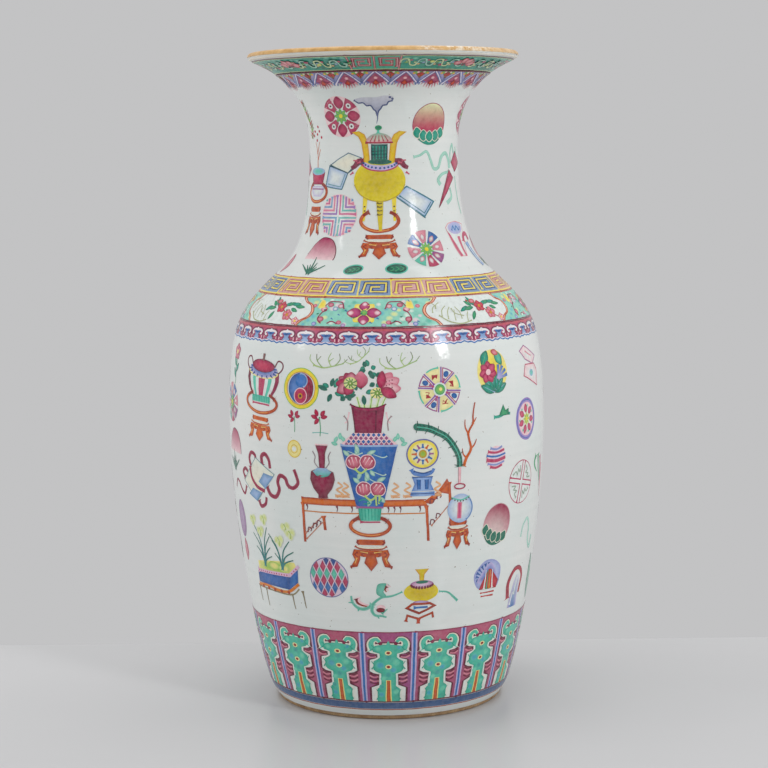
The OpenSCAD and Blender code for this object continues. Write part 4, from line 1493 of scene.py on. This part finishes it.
def table(s):
    """A long side table; the middle of the sheet is the middle of its front edge."""
    right, back = 37.5, 53.5
    s.fill([(right - 3, -1), (right + 4, -2), (back, 11.6), (back - 1.5, 14.6), (45, 6)], ORANGE, RUST)
    s.ladder([(-48, 1.6), (right - 2, 1.6)], [(-48, -3), (right + 1, -3)], "d97a44", RUST)
    s.line([(-48, 1.4), (right, 1.2)], 0.7, RUST)
    s.line([(-47, -7.6), (right - 1, -7.8)], 0.8, "c98250")
    for x in (-44, -22, -12, 12, 16, 20, 33):
        s.line([(x, -3), (x + 0.6, -5), (x, -7)], 0.8, MAROON, ends=(1, 0.5))
    for x, top, low, width in ((-47, -2, -29, 2.0), (-31.6, -10, -20, 2.0), (right, -3, -27, 1.7),
                               (back, 12, -16, 1.9)):
        s.line([(x, top), (x + 0.9, low)], width, ORANGE, end=RUST)
        s.line([(x + 0.8, top), (x + 1.6, low)], 0.5, RUST)
    s.fill([(back - 8, 6), (back, 12), (back - 0.6, 4)], ORANGE, RUST)
    for start, end in (((-45, -27), (-31, -13.4)), ((-45.6, -23), (-33, -11)),
                       ((right + 3, -17), (back - 1, -4))):
        s.line([start, end], 0.7, "c08a78")
    for x, y in ((-42, -20), (-38, -17), (-35, -15), (right + 4, -14), (right + 8, -10), (right + 4, 0),
                 (right + 9, 3)):
        s.brush([(x - 1.6, y - 2), (x - 1, y + 1.4), (x + 1.4, y + 0.6), (x + 0.6, y - 1.2)], 0.7, MAROON)
    for x in (-20, -16, 17, 25, 45):
        s.brush([(x - 3, 4), (x + 2.4, 5), (x - 1.8, 8), (x + 2, 10.4), (x - 1, 13)], 1.3, "e0b491")
        s.line([(x - 2, 3.4), (x + 3, 3.4)], 0.8, "d9a27c")


def round_bottle(s):
    """A globular bottle on a carved stand, holding a feather and coral; the middle is its mouth."""
    coral(s)
    feather(s)
    s.column([(0.9, 0), (0.7, -11)], PALE_PINK, PINK)
    carved_stand(s, -36, 17, 19)
    s.fill(oval(1.4, -28, 9.4, 9.8), WHITE, PALE_BLUE)
    s.line(oval(1.4, -28, 8.9, 9.3, start=-60, end=40), 1.8, "6d8bb8", ends=(0.4, 0.5))
    s.ladder([(-0.8, -24), (-1, -35)], [(2.4, -24), (2.4, -35)], "c55a80", PINK)
    s.brush([(-5.6, -20.6), (1.4, -22.4), (8, -20.2)], 0.9, TURQUOISE)
    s.dots([(1.2 + 2.1 * k, -23.2 + 0.22 * k * k) for k in range(-3, 4)], 0.55, INK)
    s.line(oval(0.4, -13, 3.8, 1.7), 0.8, "a8485e", closed=True)


def scroll(s):
    """Wrapped books tied with a long maroon ribbon."""
    ribbons = (([(-10, 8), (-12.6, 14), (-9.5, 18.6), (-4.4, 17), (-4.8, 12)], 3.0),
               ([(4, 11), (3.4, 17), (7.4, 19.4), (11.4, 15.6), (12.4, 9.6)], 3.4),
               ([(-3, -15), (-0.6, -19), (4.6, -17), (6.4, -12)], 3.0),
               ([(-21, -1), (-24, 3), (-20, 6), (-16, 4)], 2.8),
               ([(-20, -7), (-24, -13), (-29, -11), (-34, -6), (-39, -5), (-43, -11)], 2.2),
               ([(8, -4), (11.4, -9.4), (17, -10), (20.6, -4.6), (19.6, 1), (22.4, 5.4), (27, 4),
                 (29, -0.6), (33.6, -2.4), (38, 1.4), (37, 6.4), (35.4, 11)], 3.2))
    for points, width in ribbons:
        s.brush(points, width, "9c3550", (1, 0.8))
        s.brush(points, 0.5, MAROON)
    s.fill([(-22, -3), (-5, -16), (16.5, 5.5), (-4, 15.5)], CREAM, "dfe3d8", line="6f8f96", width=0.6)
    s.fill([(-1.5, -1.5), (6, -6), (15.5, 4), (5, 5.5)], PALE_BLUE, "6f93b8")
    s.fill([(-16, -12), (-5.5, -16), (1.5, -9), (-9.5, -7)], PALE_BLUE, "6f93b8")
    s.brush([(-11.8, 8.6), (-10.4, 1), (-4.4, -5), (5, -7.6)], 2.6, "9c3550")


def planter(s):
    """A blue box of narcissus on a low stand, seen from its corner."""
    narcissus(s)
    for x, top, low in ((-27, -13, -26), (1, -13, -24), (10.5, -10, -22), (-36, -12, -24)):
        s.line([(x, top), (x + 1.4, low)], 1.3, "7d7258", ends=(1, 0.5))
    s.brush([(-36, -13), (-20, -13.6), (0, -14), (8, -9)], 1.1, "8c8266")
    s.fill([(-35.5, -2), (-35.5, -10), (-1, -10.5), (1, -1.4)], "4f72ae", DEEP_BLUE)
    s.fill([(1, -1.4), (-1, -10.5), (7.5, -4.5), (8.5, 5.5)], BLUE, "3a62a8")
    s.line([(-35, -1.4), (1, 0), (9.6, 7.4)], 2.4, "d9b9cf")
    s.dots([(-33 + 2.6 * k, -1.5 + 0.1 * k) for k in range(13)] + [(3, 1.4), (5, 3.2), (7, 5)], 0.6, ROSE)
    s.brush([(-35.5, -11.6), (-24, -11), (-12, -12.4), (-1.6, -11.8), (8, -5.6)], 2.0, "d98850")
    s.dots([(-30 + 7 * k, -12.6) for k in range(5)], 1.3, RUST)


def squat_pot(s):
    """A yellow pot on a cornered stand, with stems of fungus to both sides."""
    teal = "7fbfae"
    for points, width, ends in (
            ([(-12.8, 0.6), (-19.8, -2.4), (-25.9, -3), (-30.2, -6.1), (-33.2, -9.5)], 2.2, (0.5, 1)),
            ([(-32.4, -8.6), (-36.3, -11.3), (-40, -11.6), (-43.6, -9.8), (-46, -6.7), (-46.8, -2.6)], 3.2,
             (0.9, 0.4)),
            ([(-32, -8), (-32.6, -12.8), (-30.2, -16), (-26, -16.4), (-22.8, -17.2)], 2.9, (0.9, 0.4)),
            ([(12.2, -0.6), (18.6, -1.8), (22.9, -5.5), (26, -8.8)], 2.0, (0.5, 1)),
            ([(-45, -7), (-48.6, -7.4)], 1.8, (1, 0.3)), ([(-41.4, -11.6), (-42, -13.4)], 1.8, (1, 0.3)),
            ([(-28.6, -16), (-27.6, -18.4)], 1.8, (1, 0.3)),
            ([(-26, -14.8), (-22.4, -11.4)], 1.6, (1, 0.3))):
        s.brush(points, width, teal, ends)
        s.brush(points, width * 0.3, "5fa894", ends)
    s.fill([(-25.9, -3), (-29.8, -0.6), (-29.2, 5.6), (-24.6, 6.8), (-21.6, 5.2), (-22.6, 3), (-25.4, 1),
            (-23.4, -2)], teal, "5fa894", smooth=True, centre=(-27, 1))
    for points, width in (([(-43.4, -4.4), (-42.4, -7.3), (-39.3, -9.1), (-36, -9.8)], 1.8),
                          ([(-23.2, 4.6), (-24.4, 2.4), (-23.2, 0.6)], 1.4)):
        s.brush([(x + 1.2, y + 0.8) for x, y in points], 2.0, PALE_PINK, (1, 0.4))
        s.brush(points, width, "5a1622", (1, 0.4), end="a8402c")
    s.fill(oval(-26.6, -10.4, 2.8, 1.8), PALE_PINK)
    s.fill(oval(-26.8, -12.2, 2.9, 1.7), "8c2030", "5a1622")
    s.ladder([(-4.8, 16), (-1.8, 12), (-1.4, 7)], [(4.8, 16), (1.8, 12), (1.6, 7)], "d3bf44", OCHRE)
    s.fill(oval(0, 0, 11.8, 6.9), "cdb33c", "dccb58")
    s.fill(oval(0.4, 5.4, 7.8, 2.6), "e0c6d8", MAUVE)
    s.fill(oval(0.4, 6.8, 4.2, 1.1), DEEP_GREEN)
    angles = [0.28 * k for k in range(-5, 6)]
    for width, low in ((0.8, 2.8), (0.6, 1.8)):
        s.dots([(0.4 + 7.4 * math.sin(a), 5.2 - low * math.cos(a)) for a in angles], width, MAROON)
    s.fill(oval(0, -7.6, 5.4, 1.4), LILAC, MAUVE)
    s.line([(-9.6, -11.2), (-6, -8.6), (6, -8.4), (9.4, -10.4), (-1.2, -15.2)], 1.6, RUST, closed=True,
           end="8c3024")
    s.line([(-5, -11.2), (4.6, -10.8)], 1.4, BLUE)
    s.line([(-10, -20.8), (-9, -16.4), (-1.4, -19), (7.8, -15.4), (8.6, -19)], 1.5, RUST)
    s.line([(-1.4, -18.6), (-1.6, -22.6)], 2.6, "b8452c", ends=(0.6, 1))


def wheel_on_stand(s):
    s.fill(oval(0, 0, 10.5, 9.6), PALE_YELLOW, YELLOW, line="6b6fa4", width=0.9)
    s.fill(oval(0, 0, 8.2, 7.4), WHITE, PALE_YELLOW)
    for k, a in enumerate(around(12)):
        s.line([rim(a, 0, 0, 4, 3.8), rim(a, 0, 0, 7.4, 6.8)], 1.1, (MAUVE, BLUE, ORANGE, BLUE)[k % 4])
    s.fill(oval(0, 0, 2.8), LEAF, OCHRE)
    pale, middle = "9db6de", "6c8cc4"
    s.brush([(-7.6, -10), (-5.6, -13), (0, -14), (5.6, -13), (7.6, -10)], 3.2, middle, (0.6, 0.6))
    s.brush([(-6, -11.4), (0, -12.8), (6, -11.4)], 0.8, DEEP_BLUE)
    s.column([(6.8, -15.6), (5.4, -20), (7.6, -24.6)], pale, middle)
    for side in MIRRORED:
        s.ladder(mirror([(1.2, -17), (1.4, -23.6)], side), mirror([(4.2, -17), (3.8, -23.6)], side), BLUE,
                 DEEP_BLUE)
    s.column([(8, -25.2), (8.4, -28)], pale, middle)
    s.lines([[(-7, -15.4), (7, -15.4)], [(-7.8, -26.4), (7.8, -26.4)]], 0.6, DEEP_BLUE)


def chain(s):
    s.fill([(-11.5, 9.5), (-5, 3.5), (6.5, -0.5), (12.5, 4.5), (-4.5, 13)], WHITE, PALE_PINK, line=MAUVE,
           width=0.7)
    s.fill([(-6, 0), (-9, -7.5), (13, -16), (13.5, -5), (9, -0.5)], WHITE, PALE_PINK, line=ROSE, width=0.7)
    s.line([(-4, 9), (0, 7), (5, 5)], 1.0, PINK)
    s.fill(oval(3, -6.4, 3.2, 2.4), TURQUOISE, PALE_BLUE)


def shore(s):
    s.brush([(-5.5, 0), (0, 0.4), (6, 0)], 1.3, "7dbdb4", (0.4, 0.4))


def spray(s):
    """A pink flower on an upright stem with dark leaves."""
    s.brush([(0, 8), (1, 0), (0, -14)], 0.9, GREEN)
    for y, a in ((-2, 40), (-6, -35), (-10, 30)):
        s.leaf(0.4, y, a, 8, 3.2, DEEP_TURQUOISE, DEEP_GREEN)
    s.flower(0, 8, 6, PINK, DEEP_ROSE, PALE_YELLOW)


def lilac_leaf(s):
    s.fill(oval(0, 0, 7.4, 13.2), "b59fbd", "8f6f94")
    s.brushes([[(x, -10), (x * 1.2, 0), (x, 10)] for x in (-3, 0, 3)], 0.7, "8a6a90")


def pink_leaf(s):
    s.fill([(0, -9), (4.6, -2), (3.6, 5), (0, 9), (-3, 3), (-3.4, -3)], "cf8a96", "a0485c", smooth=True)
    s.line([(0.2, -7), (0.6, 6)], 0.6, PALE_PINK)


def green_leaf(s):
    s.fill([(0, -17), (5, -6), (4.4, 6), (0, 17), (-4, 5), (-4.6, -7)], "6fa58e", "3a7a66", smooth=True)
    s.brush([(0, -14), (0.4, 0), (0, 14)], 0.8, "b3d3c0")


def shell(s):
    s.fill([(-12.5, 4), (-9, -5.5), (0, -7), (9.5, -6), (11.5, 7), (4, 13), (-5, 12.6)], "c3cfe4", "9aa0cc",
           smooth=True)
    for k in range(7):
        a = math.radians(200 - 18 * k)
        s.line([(11 * math.cos(a), 3 + 8.6 * math.sin(a)), (6 * math.cos(a), 1 + 5.6 * math.sin(a))], 1.2,
               "44629e", ends=(1, 0.4))
    s.fill([(-9, -2), (-6, 5), (-1, 10.6), (3, 10.6), (8, 3), (8, -2)], "5878b4", LILAC, smooth=True)
    s.fill([(-7.6, -7), (8.4, -7.4), (10, -2), (2, 7), (0, 7), (-5, -1)], "c9545c", "9c3038")
    for x, dx, colour in ((-2.6, 0.6, WHITE), (-0.6, 0.4, GREEN), (1.6, 0, OCHRE), (3.8, -0.6, WHITE)):
        s.brush([(x - dx, -7), (x, 0), (x + dx * 0.4, 6.4)], 1.3, colour, (1, 0.4))
    s.lines([[(-6, -9.6), (7, -9.8)], [(-5, -12), (6.4, -12.4)]], 1.2, "b8504c", ends=(0.5, 1))


def shell_on_stem(s):
    s.brush([(-9, -8), (-10.6, 4), (-4.6, 12), (3, 12.4), (8.4, 6), (6.6, -6)], 5.6, "a83c4a", (0.7, 0.5))
    s.brush([(-9.4, -6), (-11.4, 4), (-5, 13.4), (3.4, 13.8)], 0.8, "7a2038")
    s.ladder([(-7.6, -15), (-6, -6), (-2.6, 4), (0, 8)], [(5, -15), (4.6, -6), (4.6, 3), (2, 8)], BLUE,
             LILAC, end=WHITE)
    s.lines([[(-1, -6), (1, 6)], [(-5, -13), (-3, -4)]], 1.2, WHITE)


def ribbon(s):
    for width, colour in ((2.6, TURQUOISE), (1.6, "bfe0d4")):
        s.brush([(-9, -4), (-7, 4), (-1, 8), (3, 2), (4, -8), (9, -14), (11, -6)], width, colour, (0.5, 1))


def lilies(s):
    for points, colour in (([(-9, 12), (-12, 6), (-6, 0)], GREEN), ([(-4, 12), (-2, 2), (3, -8)], GREEN),
                           ([(2, 10), (4, 0), (5, -12)], ROSE), ([(6, 4), (6, -8), (8, -20)], PINK)):
        s.brush(points, 3.2, colour, (1, 0.3))


# Motif, angle and height, then where they differ from 0, 1 and 0 the lean, size and lowest layer. Those
# seen from the front come first, then those at the back.
NECK = ((cloud, -6.3, 414.1), (petal_roundel, -31.9, 406.0), (lacquer_box, -31.4, 366.0),
        (plank, 22.7, 348.8), (censer, -3.5, 362.5, 0, 1, 5), (peach, 36.3, 400.6),
        (castanets, 60.4, 368.9), (rosette, 26.8, 316.7), (cups, 56.4, 321.3), (pebble, -17.6, 304.2, 14),
        (pebble, 6.3, 304.7, 4, 1.1), (dome, -43.7, 316.9), (lattice_roundel, -35.0, 339.4),
        (coral_vase, -60.4, 365.2), (pink_leaf, -74.9, 306.0, -20), (petal_roundel, 84.2, 407.0),
        (peach, 132, 402), (cloud, 172, 414), (taiji, 212, 402), (flower_oval, 254, 404),
        (coral_vase, 108, 352, 0, 0.8), (lacquer_box, 141, 352), (jar, 180, 372), (plank, 222, 356),
        (castanets, 268, 366, 0, 0.9), (red_peach, 88, 312.5, 10, 0.9), (harlequin, 132, 316),
        (pebble, 158, 304, -8), (pebble, 188, 305, 6, 1.1), (wheel_roundel, 216, 316), (dome, 250, 317))
BODY = ((jar, -49.6, 229.2, -3, 0.93), (taiji, -30.9, 228.3), (orchid, -33.6, 209.7),
        (orchid, -23.6, 210.2, 0, 1.2), (shore, -23.4, 199.6), (twig, -20.5, 245.9),
        (twig, -9.5, 250.1, 30, 0.7), (twig, 5.1, 246.0, 8), (table, -6.3, 154.4),
        (bottle, -22.9, 167.9, 0, 0.94, 8), (wheel_on_stand, 12.1, 186.1, 0, 1, 8),
        (square_vase, -6.2, 171.5, 0, 1, 8), (beaker, -6.5, 217.0), (round_bottle, 25.5, 176.0, 0, 1, 8),
        (coin, -33.7, 188.0), (scroll, -51.6, 163.6, 0, 0.95), (planter, -40.6, 100.2),
        (harlequin, -22.7, 101.9), (squat_pot, 12.3, 92.6), (wheel_roundel, 18.5, 227.8),
        (flower_oval, 40.4, 237.2), (chain, 62.7, 238.4), (hill, 44.4, 208.9),
        (lilac_roundel, 58.7, 201.8), (ball, 41.1, 179.4), (window_roundel, 56.1, 159.3, -12),
        (lilies, 73.0, 162.6), (red_peach, 43.3, 133.6, -20), (ribbon, 64.2, 123.8), (shell, 40.9, 96.1),
        (shell_on_stem, 59.9, 85.3), (green_leaf, 75.9, 87, 8), (spray, -70.5, 239.5),
        (rosette, -74, 212.3), (dome, -71.5, 186), (lilac_leaf, -70, 132), (pink_leaf, -70, 110, 0, 0.9),
        (jar, 98, 228), (lattice_roundel, 126, 234), (petal_roundel, 149, 230), (table, 178, 150),
        (bottle, 158, 164, 0, 1, 8), (censer, 176, 207, 0, 1, 8), (wheel_on_stand, 193, 182, 0, 1, 8),
        (round_bottle, 213, 173, 0, 1, 8), (flower_oval, 206, 238), (twig, 221.5, 247), (taiji, 244, 218),
        (chain, 266, 236), (coin, 141, 200), (orchid, 131, 206), (orchid, 238, 196), (ball, 258, 208),
        (scroll, 114, 166), (window_roundel, 252, 166, 10), (lilac_roundel, 232, 152), (shell, 92, 128),
        (planter, 126, 102), (harlequin, 150, 104), (squat_pot, 182, 94), (peach, 208, 104),
        (cups, 232, 100), (shell_on_stem, 254, 96), (coral_vase, 272, 160, 0, 0.8), (hill, 101, 100),
        (twig, 168, 250, 10, 0.9), (pebble, 224, 176, 8), (coin, 226, 130), (orchid, 147, 134, 0, 1.1),
        (pebble, 103, 143), (red_peach, 272, 112, 12), (twig, 190, 128, 0, 0.9),
        (cloud, 236, 244, 0, 0.8))


def paint_motifs(name, places):
    for i, (motif, angle, height, *more) in enumerate(places):
        sheet = Sheet(f"{name}_{i + 1}_{motif.__name__}", angle, height, *more, free=True)
        motif(sheet)
        sheet.done()


# --- The scene --------------------------------------------------------------------------------

make_camera()
make_world()
for light in LIGHTS:
    make_light(*light)

wall = Wall(nodes["outer_glaze"])
glaze = glaze_material()
clay = clay_material()
enamel = enamel_material()
for name, material in (("neck_section", clay), ("upper_body_section", clay), ("lower_body_section", clay),
                       ("foot_ring", foot_material()), ("inner_glaze", glaze), ("base_glaze", glaze),
                       ("lip_gilding", lip_material())):
    nodes[name].data.materials[0] = material
make_outer_glaze()
paint_borders()
paint_motifs("neck", NECK)
paint_motifs("body", BODY)
make_floor()
